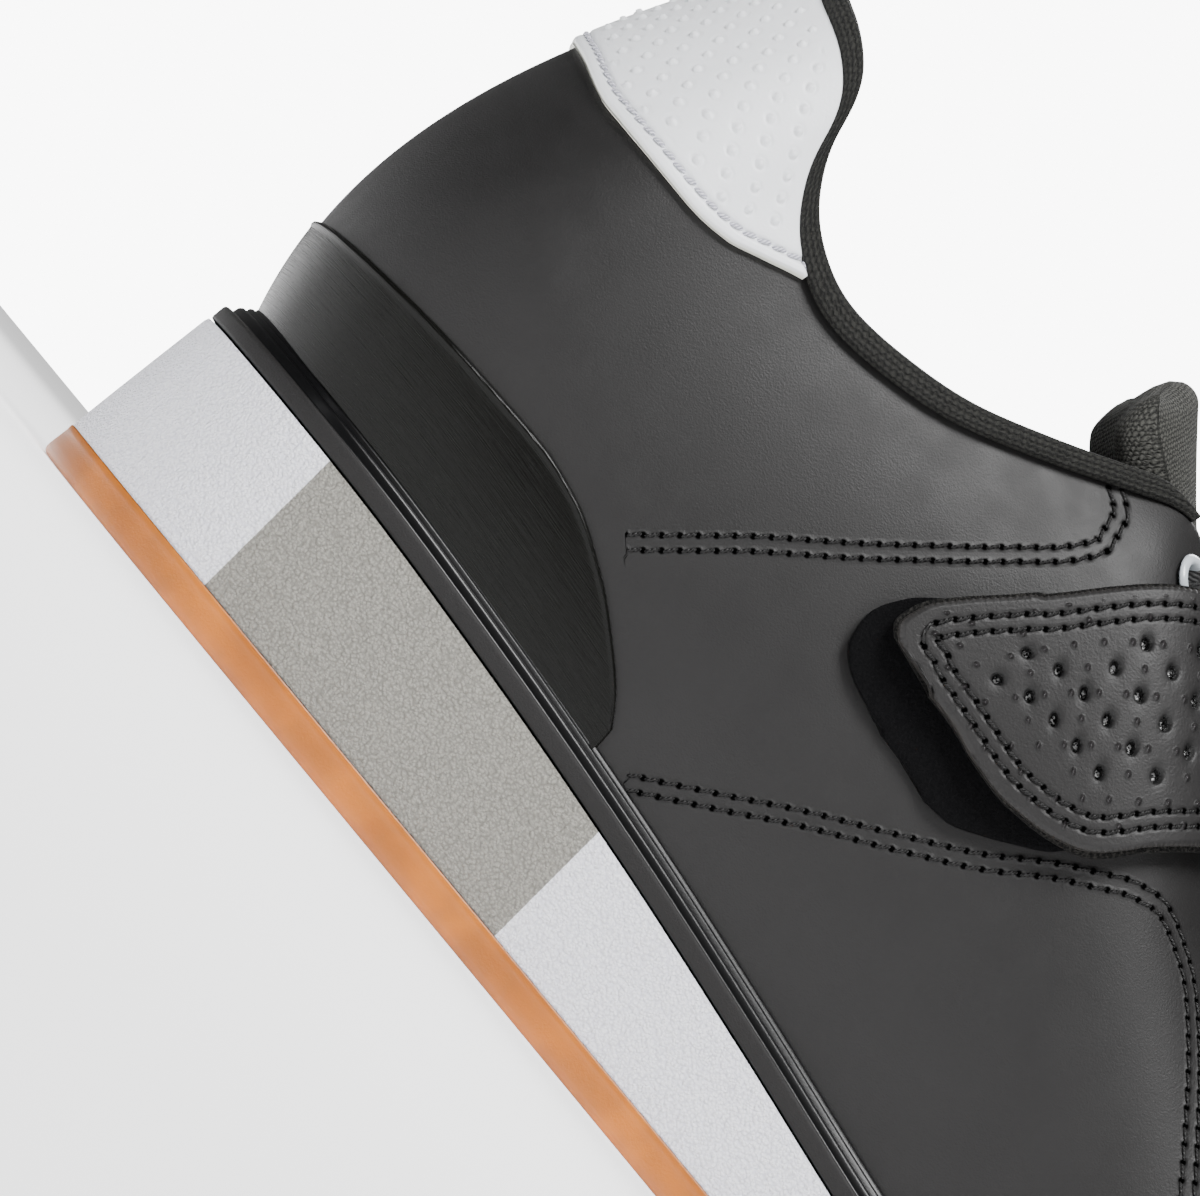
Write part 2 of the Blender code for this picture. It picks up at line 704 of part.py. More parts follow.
def peg(centre, axis, radius, length, count):
    side = np.cross(axis, (0.0, 1.0, 0.0))
    side = side / np.linalg.norm(side)
    other = np.cross(axis, side)
    angle = np.arange(count) * 2 * np.pi / count
    circle = radius * (np.cos(angle)[:, None] * side + np.sin(angle)[:, None] * other)
    verts = np.concatenate([centre + circle + length * axis, centre + circle - length * axis])
    faces = ring_faces(2, count) + [tuple(range(count)), tuple(range(count, 2 * count))]
    return solid("eyelet_cutter", verts, faces, None, cutters)


lift = curved_gap * 1.5
ring_profile = [
    (eyelet_hole / 2 - 0.35 * mm, lift),
    (eyelet_hole / 2 - 0.35 * mm, lift + eyelet_ring * 0.7),
    (eyelet_hole / 2 + 0.5 * mm, lift + eyelet_ring),
    (eyelet_flange / 2, lift + eyelet_ring * 0.35),
    (eyelet_flange / 2, lift),
]
eyelet_centres = {}
for side, word in ((-1, "lateral"), (1, "medial")):
    for row in range(eyelet_rows):
        centre, axis = eyelet_frame(side, row)
        eyelet_centres[side, row] = centre
        cut(upper, peg(centre, axis, eyelet_hole / 2, 6 * mm, 10))
        turned(f"eyelet_{word}_{row + 1}", centre, axis, ring_profile, 10, "eyelet_grey")

# Rand: black band with steps between the midsole and the upper
w_rand = stations(ring_count)


def rand_ring(height, share):
    # Ring at a height above the midsole, part of the way from the upper out to the sole edge.
    foot, n = plan(w_rand, feather(w_rand))
    base = midsole_top(foot[:, 0]) + curved_gap
    t = share_at_height(w_rand, base + height)
    inner = upper_at(w_rand, t, curved_gap)
    outer = level_ring(w_rand, midsole_taper * 1.4, lambda x: midsole_top(x) + curved_gap)
    outer[:, 2] += height
    gap = np.linalg.norm((outer - inner)[:, :2], axis=1)[:, None]
    ahead = np.maximum(share * np.ones_like(gap), 0)
    p = inner + (outer - inner) * ahead
    return p


rand_steps = [
    (0.0, 0.0), (0.0, 1.0), (2.8 * mm, 0.98), (3.0 * mm, 0.70), (4.2 * mm, 0.66),
    (4.4 * mm, 0.38), (rand_height, 0.30), (rand_height, 0.0),
]
solid("rand", np.concatenate([rand_ring(h, s) for h, s in rand_steps]),
      ring_faces(len(rand_steps), len(w_rand), closed=True), "rand_rubber")

# Counter panel and heel patch: thin pieces laid on the heel of the upper
table = np.array(counter_edge)
w_counter = near_stations(table[-1, 0])
foot, n = plan(w_counter, feather(w_counter))
low = midsole_top(foot[:, 0]) + rand_height + 2 * curved_gap
high = heel_stack * smooth_curve(table[:, 0], table[:, 1], np.abs(w_counter))
t_low, t_high = share_at_height(w_counter, low), share_at_height(w_counter, high)
span = np.linspace(0, 1, 4)[:, None]
t_counter = t_low + (t_high - t_low) * span
shell("counter_panel", upper_at(w_counter[None, :], t_counter, curved_gap + overlay),
      upper_at(w_counter[None, :], t_counter, curved_gap), "gloss_film")

table = np.array(patch_edge)
w_patch = near_stations(table[-1, 0])
low = instep_height * smooth_curve(table[:, 0], table[:, 1], np.abs(w_patch))
t_low = share_at_height(w_patch, low)
t_high = share_at_depth(w_patch, np.full(len(w_patch), 1.3 * mm))
t_patch = t_low + (t_high - t_low) * span
shell("heel_patch", upper_at(w_patch[None, :], t_patch, curved_gap + patch_thickness),
      upper_at(w_patch[None, :], t_patch, curved_gap), "white_leather")

# Collar: padded knit roll over the top edge, with its lining pad inside
w_collar = near_stations(collar_end)
pad = np.array(collar_padding)
thin = smooth_curve(pad[:, 0], pad[:, 1], np.abs(w_collar)) * collar_pad
deep = smooth_curve(pad[:, 0], pad[:, 2], np.abs(w_collar)) * collar_depth
rings = [
    edge_point(w_collar, depth + part * deep, offset - share * thin)
    for depth, part, offset, share in collar_section
]
collar_grid = np.stack(rings, 1)
count = len(collar_section)
faces = ring_faces(len(w_collar), count)
faces.append(tuple(range(count)))
faces.append(tuple((len(w_collar) - 1) * count + i for i in range(count)))
solid("collar", collar_grid.reshape(-1, 3), faces, "black_knit")

# Insole inside the upper
w_in = stations(56)
inner_inset = feather(w_in) + wall + 0.9 * mm
slab("insole", [
    level_ring(w_in, inner_inset, lambda x: midsole_top(x) + curved_gap),
    level_ring(w_in, inner_inset, lambda x: midsole_top(x) + curved_gap + insole_thickness * 0.8),
    level_ring(w_in, inner_inset + 1.2 * mm, lambda x: midsole_top(x) + curved_gap + insole_thickness),
], "footbed_cloth")

# Tongue: padded sheet under the throat, standing up above the top eyelets
tongue_front = 0.680 * shoe_length
tongue_back = 0.368 * shoe_length
# share up the tongue, half width, thickness share
tongue_rows = [
    (0.00, 15 * mm, 0.55),
    (0.15, 18 * mm, 0.75),
    (0.45, 21 * mm, 0.90),
    (0.75, 22 * mm, 1.00),
    (1.00, 18 * mm, 1.00),
]
# share of the rise, half width, thickness share
rise_rows = [
    (0.30, 17 * mm, 1.20),
    (0.62, 17 * mm, 1.45),
    (0.88, 16 * mm, 1.15),
    (1.00, 13 * mm, 0.50),
]
across = np.linspace(-1, 1, 11)
tab = np.array(tongue_rows)
share = np.linspace(0, 1, 13)
x_tongue = tongue_front + (tongue_back - tongue_front) * share
half = smooth_curve(tab[:, 0], tab[:, 1], share)
thick_rows = smooth_curve(tab[:, 0], tab[:, 2], share) * tongue_thickness
xs = np.repeat(x_tongue[:, None], len(across), 1)
arc = half[:, None] * across
depth = wall + curved_gap + 0.3 * mm
outer = instep_at(xs, arc, np.full(xs.shape, -depth))
soft = (1 - 0.55 * np.abs(across)**3)[None, :]
inner = instep_at(xs, arc, -(depth + thick_rows[:, None] * soft))
top_normal = outer[-1] - inner[-1]
top_normal = top_normal / np.linalg.norm(top_normal, axis=1, keepdims=True)
for lift_share, width, thickness in rise_rows:
    arc_top = width * across
    run = tongue_rise * lift_share
    base = instep_at(np.full(len(across), tongue_back), arc_top, np.full(len(across), -depth))
    step = np.array([-0.76, 0.0, 0.65]) * run
    face = base + step
    back = face - top_normal * (tongue_thickness * thickness * soft[0])[:, None]
    outer = np.concatenate([outer, face[None]])
    inner = np.concatenate([inner, back[None]])
shell("tongue", outer, inner, "tongue_mesh")

# Strap over the instep, with its fastening pad on the lateral side
def strap_sheet(name, table, reach, lift, thickness, finish):
    table = np.array(table)
    rear = smooth_curve(table[:, 0], table[:, 1], reach)
    front = smooth_curve(table[:, 0], table[:, 2], reach)
    side = np.linspace(0, 1, 6)
    x = rear[:, None] + (front - rear)[:, None] * side
    a = reach[:, None] * np.where(reach[:, None] < 0, girth(x, -1), girth(x, 1))
    low = np.repeat(lift[:, None], len(side), 1)
    return shell(name, instep_at(x, a, low + thickness), instep_at(x, a, low), finish)


tip = [row[0] for row in strap_rows[:5]]
reach = np.r_[tip, np.linspace(strap_rows[5][0], strap_rows[-1][0], 18)]
table = np.array(strap_lift)
strap_sheet("strap", strap_rows, reach, smooth_curve(table[:, 0], table[:, 1], reach),
            strap_thickness, "strap_leather")
reach = np.array([row[0] for row in strap_pad_rows])
strap_sheet("strap_pad", strap_pad_rows, reach, np.full(len(reach), curved_gap * 1.4),
            strap_pad_thickness, "loop_tape")

# Lace: flat runs crossing from row to row, joined where they meet and cross
def lace_end(side, row):
    centre = eyelet_centres[side, row]
    line = section_line(centre[0])
    run = np.r_[0, np.cumsum(np.linalg.norm(np.diff(line, axis=0), axis=1))]
    run = run - run[np.argmax(line[:, 1])]
    a = run[np.argmin(np.linalg.norm(line - centre[1:], axis=1))]
    return np.array([centre[0], a - np.sign(a) * (eyelet_flange / 2 + lace_setback)])


def lace_span(name, start, end, lift, finish, into):
    share = np.linspace(-0.02, 1.02, 6)[:, None]
    path = start + (end - start) * share
    sections = []
    for dx, up in ((-1, 0.0), (1, 0.0), (1, lace_thickness), (-1, lace_thickness)):
        x = path[:, 0] + dx * lace_width / 2
        sections.append(instep_at(x, path[:, 1], np.full(len(x), lift + up)))
    verts = np.stack(sections, 1)
    count = len(path)
    faces = ring_faces(count, 4) + [(0, 1, 2, 3), tuple(4 * count - 4 + i for i in range(4))]
    return solid(name, verts.reshape(-1, 3), faces, finish, into)


lace = None
for row in range(eyelet_rows - 1):
    for side in (-1, 1):
        start, end = lace_end(side, row), lace_end(-side, row + 1)
        lift = lace_clear + lace_over * (side + 1) / 2
        if lace is None:
            lace = lace_span("lace", start, end, lift, "lace_knit", shoe)
        else:
            cut(lace, lace_span("lace_span", start, end, lift, None, cutters), "UNION")

for thing in shoe.objects:
    body = bmesh.new()
    body.from_mesh(thing.data)
    bmesh.ops.remove_doubles(body, verts=body.verts, dist=1e-6)
    bmesh.ops.recalc_face_normals(body, faces=body.faces)
    body.to_mesh(thing.data)
    body.free()
    thing.data.polygons.foreach_set("use_smooth", [True] * len(thing.data.polygons))
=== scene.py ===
# Looks of a right weightlifting shoe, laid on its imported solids.
# Toe to +X, outer side to -Y, metres. Fine surfaces come from short tables and formulas.
import sys
import bpy
import numpy as np
from mathutils import Matrix, Vector
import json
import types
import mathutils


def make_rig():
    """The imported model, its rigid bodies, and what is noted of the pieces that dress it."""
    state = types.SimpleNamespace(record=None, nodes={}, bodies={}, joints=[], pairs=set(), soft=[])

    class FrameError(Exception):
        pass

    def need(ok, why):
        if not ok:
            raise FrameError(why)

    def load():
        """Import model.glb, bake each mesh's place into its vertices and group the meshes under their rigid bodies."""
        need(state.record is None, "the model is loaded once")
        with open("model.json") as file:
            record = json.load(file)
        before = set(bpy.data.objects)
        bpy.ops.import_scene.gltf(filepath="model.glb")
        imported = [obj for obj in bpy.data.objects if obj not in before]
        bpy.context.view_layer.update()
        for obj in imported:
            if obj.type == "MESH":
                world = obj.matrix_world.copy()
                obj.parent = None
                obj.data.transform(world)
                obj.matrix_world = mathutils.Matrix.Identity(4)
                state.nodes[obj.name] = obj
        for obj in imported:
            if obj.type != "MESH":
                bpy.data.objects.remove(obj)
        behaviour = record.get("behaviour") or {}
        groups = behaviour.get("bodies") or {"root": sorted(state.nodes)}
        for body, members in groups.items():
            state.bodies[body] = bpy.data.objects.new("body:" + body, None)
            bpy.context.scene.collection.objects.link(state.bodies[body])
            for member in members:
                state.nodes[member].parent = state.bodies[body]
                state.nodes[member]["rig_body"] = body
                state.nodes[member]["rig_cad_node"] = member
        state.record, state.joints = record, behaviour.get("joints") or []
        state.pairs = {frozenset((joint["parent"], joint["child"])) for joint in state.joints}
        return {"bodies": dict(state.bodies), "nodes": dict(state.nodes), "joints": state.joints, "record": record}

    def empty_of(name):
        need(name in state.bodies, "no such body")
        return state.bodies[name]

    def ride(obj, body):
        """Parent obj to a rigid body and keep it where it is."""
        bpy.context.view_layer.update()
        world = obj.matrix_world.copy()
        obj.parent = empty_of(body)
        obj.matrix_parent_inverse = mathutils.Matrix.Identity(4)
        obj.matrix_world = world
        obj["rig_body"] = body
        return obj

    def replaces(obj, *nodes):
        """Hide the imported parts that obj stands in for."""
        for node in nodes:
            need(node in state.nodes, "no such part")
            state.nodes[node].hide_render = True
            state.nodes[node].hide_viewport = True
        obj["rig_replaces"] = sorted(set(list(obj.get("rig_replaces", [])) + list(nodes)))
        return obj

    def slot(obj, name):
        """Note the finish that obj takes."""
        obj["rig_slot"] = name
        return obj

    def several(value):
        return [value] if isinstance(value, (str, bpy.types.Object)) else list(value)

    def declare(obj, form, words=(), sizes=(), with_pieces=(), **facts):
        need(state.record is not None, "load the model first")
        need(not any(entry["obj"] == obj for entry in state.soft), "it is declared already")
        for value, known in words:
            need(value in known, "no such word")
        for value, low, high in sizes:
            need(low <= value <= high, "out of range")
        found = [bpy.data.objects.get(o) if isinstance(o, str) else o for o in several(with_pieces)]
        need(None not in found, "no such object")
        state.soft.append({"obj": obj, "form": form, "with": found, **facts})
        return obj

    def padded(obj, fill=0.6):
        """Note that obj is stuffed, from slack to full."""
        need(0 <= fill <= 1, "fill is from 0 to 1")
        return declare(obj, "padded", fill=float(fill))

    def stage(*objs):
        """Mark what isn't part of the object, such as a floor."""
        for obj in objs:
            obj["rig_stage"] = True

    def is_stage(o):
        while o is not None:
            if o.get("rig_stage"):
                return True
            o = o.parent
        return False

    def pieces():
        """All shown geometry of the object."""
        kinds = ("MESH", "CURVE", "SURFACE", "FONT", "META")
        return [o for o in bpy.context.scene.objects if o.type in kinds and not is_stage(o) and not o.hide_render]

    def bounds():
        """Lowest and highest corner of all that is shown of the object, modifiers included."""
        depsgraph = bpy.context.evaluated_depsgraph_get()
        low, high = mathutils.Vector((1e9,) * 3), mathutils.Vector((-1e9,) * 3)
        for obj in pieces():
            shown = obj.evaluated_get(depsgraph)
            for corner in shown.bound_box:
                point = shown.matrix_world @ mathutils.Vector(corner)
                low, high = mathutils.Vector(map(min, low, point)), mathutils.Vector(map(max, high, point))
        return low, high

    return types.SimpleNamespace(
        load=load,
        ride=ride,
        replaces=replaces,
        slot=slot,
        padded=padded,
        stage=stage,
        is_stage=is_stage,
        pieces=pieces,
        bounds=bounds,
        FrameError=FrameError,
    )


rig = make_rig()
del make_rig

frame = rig.load()
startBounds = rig.bounds()

mm = 0.001
originAlong = 0.43 * 290 * mm

# The last, shared by every piece that lies on it
last = {
    "length": 290 * mm,
    "ballWidth": 106 * mm,
    "heelStack": 28 * mm,
    "ballStack": 12.5 * mm,
    "toeSpring": 7 * mm,
    "instepHeight": 110.8 * mm,
    "featherInset": 4.2 * mm,
    "featherLift": 0.6 * mm,
    "heelTuck": 3.3 * mm,
    "wall": 2.2 * mm,
    "toeShift": 0.036 * 106 * mm,
    "throatEnd": 0.672,
}
# along, lateral, medial
soleOutline = np.array([
    (0.000, 0.000, 0.000), (0.022, 0.200, 0.200), (0.080, 0.325, 0.315), (0.170, 0.365, 0.345),
    (0.300, 0.372, 0.335), (0.420, 0.385, 0.345), (0.550, 0.430, 0.395), (0.660, 0.485, 0.475),
    (0.740, 0.500, 0.500), (0.840, 0.445, 0.460), (0.930, 0.300, 0.365), (0.980, 0.130, 0.225),
    (1.000, -0.040, 0.040),
])
# along, stack, spring
soleHeights = np.array([
    (0.00, 1.00, 0.00), (0.10, 0.97, 0.00), (0.20, 0.87, 0.00), (0.30, 0.71, 0.00),
    (0.40, 0.49, 0.00), (0.50, 0.24, 0.00), (0.60, 0.06, 0.00), (0.70, 0.00, 0.00),
    (0.78, 0.00, 0.06), (0.88, 0.00, 0.38), (1.00, 0.00, 1.00),
])
# station, along, out_lat, out_med, top_lat, top_med, low_up, low_out, high_down, high_out
lastStations = np.array([
    (0.000, 0.053, 0.000, 0.000, 1.076, 1.076, 0.262, 0.131, 0.435, 0.170),
    (0.060, 0.059, 0.085, 0.085, 1.067, 1.067, 0.292, 0.122, 0.429, 0.153),
    (0.120, 0.073, 0.165, 0.162, 1.045, 1.047, 0.340, 0.108, 0.420, 0.126),
    (0.170, 0.090, 0.215, 0.210, 1.022, 1.026, 0.30, 0.075, 0.30, 0.100),
    (0.210, 0.107, 0.240, 0.233, 0.985, 0.993, 0.30, 0.060, 0.30, 0.075),
    (0.250, 0.120, 0.255, 0.246, 0.906, 0.925, 0.31, 0.050, 0.30, 0.060),
    (0.290, 0.145, 0.268, 0.256, 0.834, 0.860, 0.32, 0.045, 0.30, 0.060),
    (0.330, 0.181, 0.275, 0.262, 0.803, 0.830, 0.33, 0.040, 0.30, 0.065),
    (0.380, 0.236, 0.268, 0.258, 0.830, 0.852, 0.34, 0.035, 0.30, 0.080),
    (0.430, 0.290, 0.240, 0.235, 0.900, 0.915, 0.36, 0.030, 0.28, 0.110),
    (0.475, 0.332, 0.205, 0.203, 0.967, 0.972, 0.38, 0.025, 0.22, 0.150),
    (0.500, 0.357, 0.172, 0.172, 1.000, 1.000, 0.39, 0.025, 0.15, 0.180),
    (0.520, 0.382, 0.152, 0.152, 0.968, 0.968, 0.40, 0.025, 0.12, 0.190),
    (0.550, 0.432, 0.134, 0.134, 0.878, 0.878, 0.41, 0.022, 0.10, 0.200),
    (0.580, 0.490, 0.118, 0.118, 0.775, 0.775, 0.42, 0.020, 0.08, 0.210),
    (0.610, 0.554, 0.102, 0.102, 0.682, 0.682, 0.43, 0.018, 0.06, 0.225),
    (0.640, 0.615, 0.080, 0.080, 0.608, 0.608, 0.44, 0.016, 0.04, 0.240),
    (0.660, 0.643, 0.048, 0.048, 0.582, 0.582, 0.45, 0.016, 0.02, 0.250),
    (0.672, 0.650, 0.000, 0.000, 0.576, 0.576, 0.45, 0.015, 0.01, 0.255),
    (0.720, 0.700, 0.000, 0.000, 0.545, 0.545, 0.46, 0.015, 0.00, 0.240),
    (0.780, 0.756, 0.000, 0.000, 0.510, 0.510, 0.47, 0.015, 0.00, 0.215),
    (0.840, 0.806, 0.000, 0.000, 0.478, 0.478, 0.47, 0.015, 0.00, 0.190),
    (0.920, 0.855, 0.000, 0.000, 0.440, 0.440, 0.46, 0.020, 0.00, 0.165),
    (1.000, 0.885, 0.000, 0.000, 0.415, 0.415, 0.45, 0.025, 0.00, 0.150),
])


def smoothCurve(knots, values, at):
    # Monotone cubic through the rows of a table.
    h = np.diff(knots)
    d = np.diff(values) / h
    m = np.zeros_like(values)
    w1, w2 = 2 * h[1:] + h[:-1], h[1:] + 2 * h[:-1]
    rising = d[:-1] * d[1:] > 0
    a, b = np.where(rising, d[:-1], 1.0), np.where(rising, d[1:], 1.0)
    m[1:-1] = np.where(rising, (w1 + w2) / (w1 / a + w2 / b), 0.0)
    m[0], m[-1] = d[0], d[-1]
    at = np.clip(at, knots[0], knots[-1])
    i = np.clip(np.searchsorted(knots, at, side="right") - 1, 0, len(h) - 1)
    s = (at - knots[i]) / h[i]
    rise = (2 * s**3 - 3 * s**2 + 1) * values[i] + (3 * s**2 - 2 * s**3) * values[i + 1]
    return rise + (s**3 - 2 * s**2 + s) * h[i] * m[i] + (s**3 - s**2) * h[i] * m[i + 1]


def smoothStep(x):
    x = np.clip(x, 0, 1)
    return x * x * (3 - 2 * x)


def around(stations, lateral, medial, w):
    # Table value at signed station w, lateral below zero, closed round the toe and softened.
    knots = np.r_[-stations[::-1], stations[1:]]
    values = np.r_[lateral[::-1], medial[1:]]
    knots = np.r_[knots[:-1] - 2, knots, knots[1:] + 2]
    values = np.r_[values[:-1], values, values[1:]]
    return np.mean([smoothCurve(knots, values, w + k) for k in np.linspace(-1, 1, 7) * 0.012], axis=0)


def plan(w, inset=0.0):
    # Sole outline at station w moved in by the inset, and its outward direction.
    station = np.arccos(1 - 2 * soleOutline[:, 0]) / np.pi

    def at(v):
        x = last["length"] * (1 - np.cos(np.pi * v)) / 2
        y = last["ballWidth"] * around(station, -soleOutline[:, 1], soleOutline[:, 2], v)
        return np.stack([x, y], -1)

    d = at(w + 1e-4) - at(w - 1e-4)
    n = np.stack([-d[..., 1], d[..., 0]], -1)
    n = n / np.linalg.norm(n, axis=-1, keepdims=True)
    return at(w) - np.asarray(inset)[..., None] * n, n


def floorHeight(x):
    share = smoothCurve(soleHeights[:, 0], soleHeights[:, 2], x / last["length"])
    return last["toeSpring"] * share


def midsoleTop(x):
    drop = smoothCurve(soleHeights[:, 0], soleHeights[:, 1], x / last["length"])
    return last["ballStack"] + (last["heelStack"] - last["ballStack"]) * drop + floorHeight(x)


def feather(w):
    # Inset of the upper's foot from the sole outline, larger round the back of the heel.
    return last["featherInset"] + last["heelTuck"] * smoothStep(1 - np.abs(w) / 0.2)


def lastFrames(w):
    # The four control points of the side profile at each station: feather line to top edge.
    c = lastStations
    def get(i, j):
        return around(c[:, 0], c[:, i], c[:, j], w)
    ahead = np.abs(w)
    ridge = last["toeShift"] * np.clip((ahead - 0.66) / 0.34, 0, 1)
    top = np.stack([
        last["length"] * get(1, 1),
        last["ballWidth"] * around(c[:, 0], -c[:, 2], c[:, 3], w) + ridge,
        last["instepHeight"] * get(4, 5),
    ], -1)
    foot, n = plan(w, feather(w))
    base = np.concatenate([foot, (midsoleTop(foot[..., 0]) + last["featherLift"])[..., None]], -1)
    rise = (top - base)[..., 2:]
    out = np.concatenate([n, 0 * n[..., :1]], -1)
    up = np.array([0.0, 0.0, 1.0])
    low = base + get(6, 6)[..., None] * rise * up + last["ballWidth"] * get(7, 7)[..., None] * out
    high = top - get(8, 8)[..., None] * rise * up + last["ballWidth"] * get(9, 9)[..., None] * out
    near = np.minimum(ahead + 0.01, 0.99)
    fall = around(c[:, 0], c[:, 4], c[:, 5], near) - around(c[:, 0], c[:, 4], c[:, 5], near - 0.02)
    run = around(c[:, 0], c[:, 1], c[:, 1], near) - around(c[:, 0], c[:, 1], c[:, 1], near - 0.02)
    slope = last["instepHeight"] * fall / (last["length"] * run + 1e-9)
    joined = np.clip((ahead - last["throatEnd"] + 0.02) / 0.02, 0, 1)
    high[..., 2] += joined * slope * (high - top)[..., 0]
    return base, low, high, top


def profile(frames, t):
    a = np.asarray(t)[..., None]
    b, l, h, p = frames
    return (1 - a)**3 * b + 3 * a * (1 - a)**2 * l + 3 * a**2 * (1 - a) * h + a**3 * p


def lastSurface(w, t, offset=0.0, normals=False):
    # Point of the outer face at stations w and shares t, moved out along the normal.
    here = lastFrames(w)
    p = profile(here, t)
    e = 1e-3
    below = np.minimum(t, 0.99)
    across = profile(lastFrames(w + e), below) - profile(lastFrames(w - e), below)
    upward = profile(here, np.minimum(t + e, 1)) - profile(here, np.maximum(t - e, 0))
    n = np.cross(upward, across)
    n = n / (np.linalg.norm(n, axis=-1, keepdims=True) + 1e-12)
    p = p + np.asarray(offset)[..., None] * n
    return (p, n) if normals else p


def shareAtHeight(w, height):
    # Share t at which the side profile reaches a height, by halving.
    here = lastFrames(w)
    low, high = np.zeros(len(w)), np.ones(len(w))
    for _ in range(26):
        middle = (low + high) / 2
        below = profile(here, middle)[:, 2] < height
        low, high = np.where(below, middle, low), np.where(below, high, middle)
    return (low + high) / 2


def shareAtDepth(w, depth):
    # Share t at a depth along the surface below the top edge.
    t = np.linspace(1, 0.3, 240)[:, None] * np.ones(len(w))
    p = profile(lastFrames(w), t)
    run = np.cumsum(np.linalg.norm(np.diff(p, axis=0), axis=-1), axis=0)
    run = np.concatenate([np.zeros((1, len(w))), run])
    i = np.clip((run < depth).sum(0) - 1, 0, len(t) - 2)
    k = np.arange(len(w))
    part = (depth - run[i, k]) / (run[i + 1, k] - run[i, k] + 1e-12)
    return t[i, k] + (t[i + 1, k] - t[i, k]) * np.clip(part, 0, 1)


def edgePoint(w, depth, offset):
    # Point near the top edge: depth below it, or above it when negative, offset outwards.
    depth = np.broadcast_to(depth, w.shape)
    p = lastSurface(w, shareAtDepth(w, np.maximum(depth, 0)), offset)
    here = lastFrames(w)
    rise = profile(here, np.ones(len(w))) - profile(here, np.full(len(w), 0.97))
    rise = rise / np.linalg.norm(rise, axis=-1, keepdims=True) + np.array([0.0, 0.0, 1.0])
    return p + np.maximum(-depth, 0)[:, None] * rise / np.linalg.norm(rise, axis=-1, keepdims=True)


def onSide(x, z, side):
    # Station and share of the side point at given x and z, by Newton steps.
    x, z = np.asarray(x, float), np.asarray(z, float)
    w = side * np.arccos(np.clip(1 - 2 * x / last["length"], -1, 1)) / np.pi
    t = np.full(len(x), 0.4)
    e = 1e-4
    for _ in range(14):
        here = lastFrames(w)
        p = profile(here, t)
        dw = (profile(lastFrames(w + e), t) - profile(lastFrames(w - e), t)) / (2 * e)
        dt = (profile(here, t + e) - profile(here, t - e)) / (2 * e)
        rx, rz = x - p[:, 0], z - p[:, 2]
        det = dw[:, 0] * dt[:, 2] - dt[:, 0] * dw[:, 2]
        det = np.where(np.abs(det) < 1e-12, 1e-12, det)
        w = w + np.clip((rx * dt[:, 2] - dt[:, 0] * rz) / det, -0.05, 0.05)
        t = np.clip(t + np.clip((dw[:, 0] * rz - rx * dw[:, 2]) / det, -0.1, 0.1), 0.0, 1.0)
    return w, t


def polyline(points, spacing):
    # Evenly spaced points along a smoothed line through the given ones.
    points = np.asarray(points, float)
    k = np.r_[0, np.cumsum(np.linalg.norm(np.diff(points, axis=0), axis=1))]
    fine = np.linspace(0, k[-1], 400)
    line = np.stack([smoothCurve(k, points[:, i], fine) for i in range(points.shape[1])], -1)
    run = np.r_[0, np.cumsum(np.linalg.norm(np.diff(line, axis=0), axis=1))]
    at = np.linspace(0, run[-1], max(int(round(run[-1] / spacing)), 2) + 1)
    return np.stack([np.interp(at, run, line[:, i]) for i in range(line.shape[1])], -1)


# Section of the instep, for what lies across it
profileRows = np.linspace(0, 1, 61)
sideStations = np.linspace(0.16, 0.78, 220)
sideGrid = {
    side: profile(lastFrames(side * sideStations), profileRows[:, None] * np.ones(220))
    for side in (-1, 1)
}


def sectionLine(x):
    sides = []
    for side in (-1, 1):
        g = sideGrid[side]
        sides.append(np.array([
            (np.interp(x, g[j, :, 0], g[j, :, 1]), np.interp(x, g[j, :, 0], g[j, :, 2]))
            for j in range(len(profileRows))
        ]))
    lat, med = sides
    gap = np.linalg.norm(lat[-1] - med[-1])
    a, b = lat[-1] - lat[-4], med[-1] - med[-4]
    h0 = lat[-1] + a / np.linalg.norm(a) * gap * 0.34
    h1 = med[-1] + b / np.linalg.norm(b) * gap * 0.34
    s = np.linspace(0, 1, 41)[1:-1, None]
    arc = (1 - s)**3 * lat[-1] + 3 * s * (1 - s)**2 * h0 + 3 * s**2 * (1 - s) * h1 + s**3 * med[-1]
    return np.concatenate([lat, arc, med[::-1]])


# Table of sections: for each place along the shoe, the line by arc length from the crest
sectionPlaces = np.linspace(60 * mm, 215 * mm, 156)
sectionLines = [sectionLine(x) for x in sectionPlaces]
arcPlaces = np.linspace(-130 * mm, 130 * mm, 521)
sectionTable, girths = [], []
for line in sectionLines:
    run = np.r_[0, np.cumsum(np.linalg.norm(np.diff(line, axis=0), axis=1))]
    run = run - run[np.argmax(line[:, 1])]
    sectionTable.append(np.stack([np.interp(arcPlaces, run, line[:, 0]), np.interp(arcPlaces, run, line[:, 1])], -1))
    girths.append((-run[0], run[-1]))
sectionTable = np.array(sectionTable)
girths = np.array(girths)


def instepPoint(x, a):
    # Bilinear read of the table of sections.
    i = np.clip((x - sectionPlaces[0]) / (sectionPlaces[1] - sectionPlaces[0]), 0, len(sectionPlaces) - 1.001)
    j = np.clip((a - arcPlaces[0]) / (arcPlaces[1] - arcPlaces[0]), 0, len(arcPlaces) - 1.001)
    i0, j0 = i.astype(int), j.astype(int)
    u, v = (i - i0)[..., None], (j - j0)[..., None]
    t = sectionTable
    yz = (t[i0, j0] * (1 - u) * (1 - v) + t[i0 + 1, j0] * u * (1 - v)
          + t[i0, j0 + 1] * (1 - u) * v + t[i0 + 1, j0 + 1] * u * v)
    return np.concatenate([x[..., None], yz], -1)


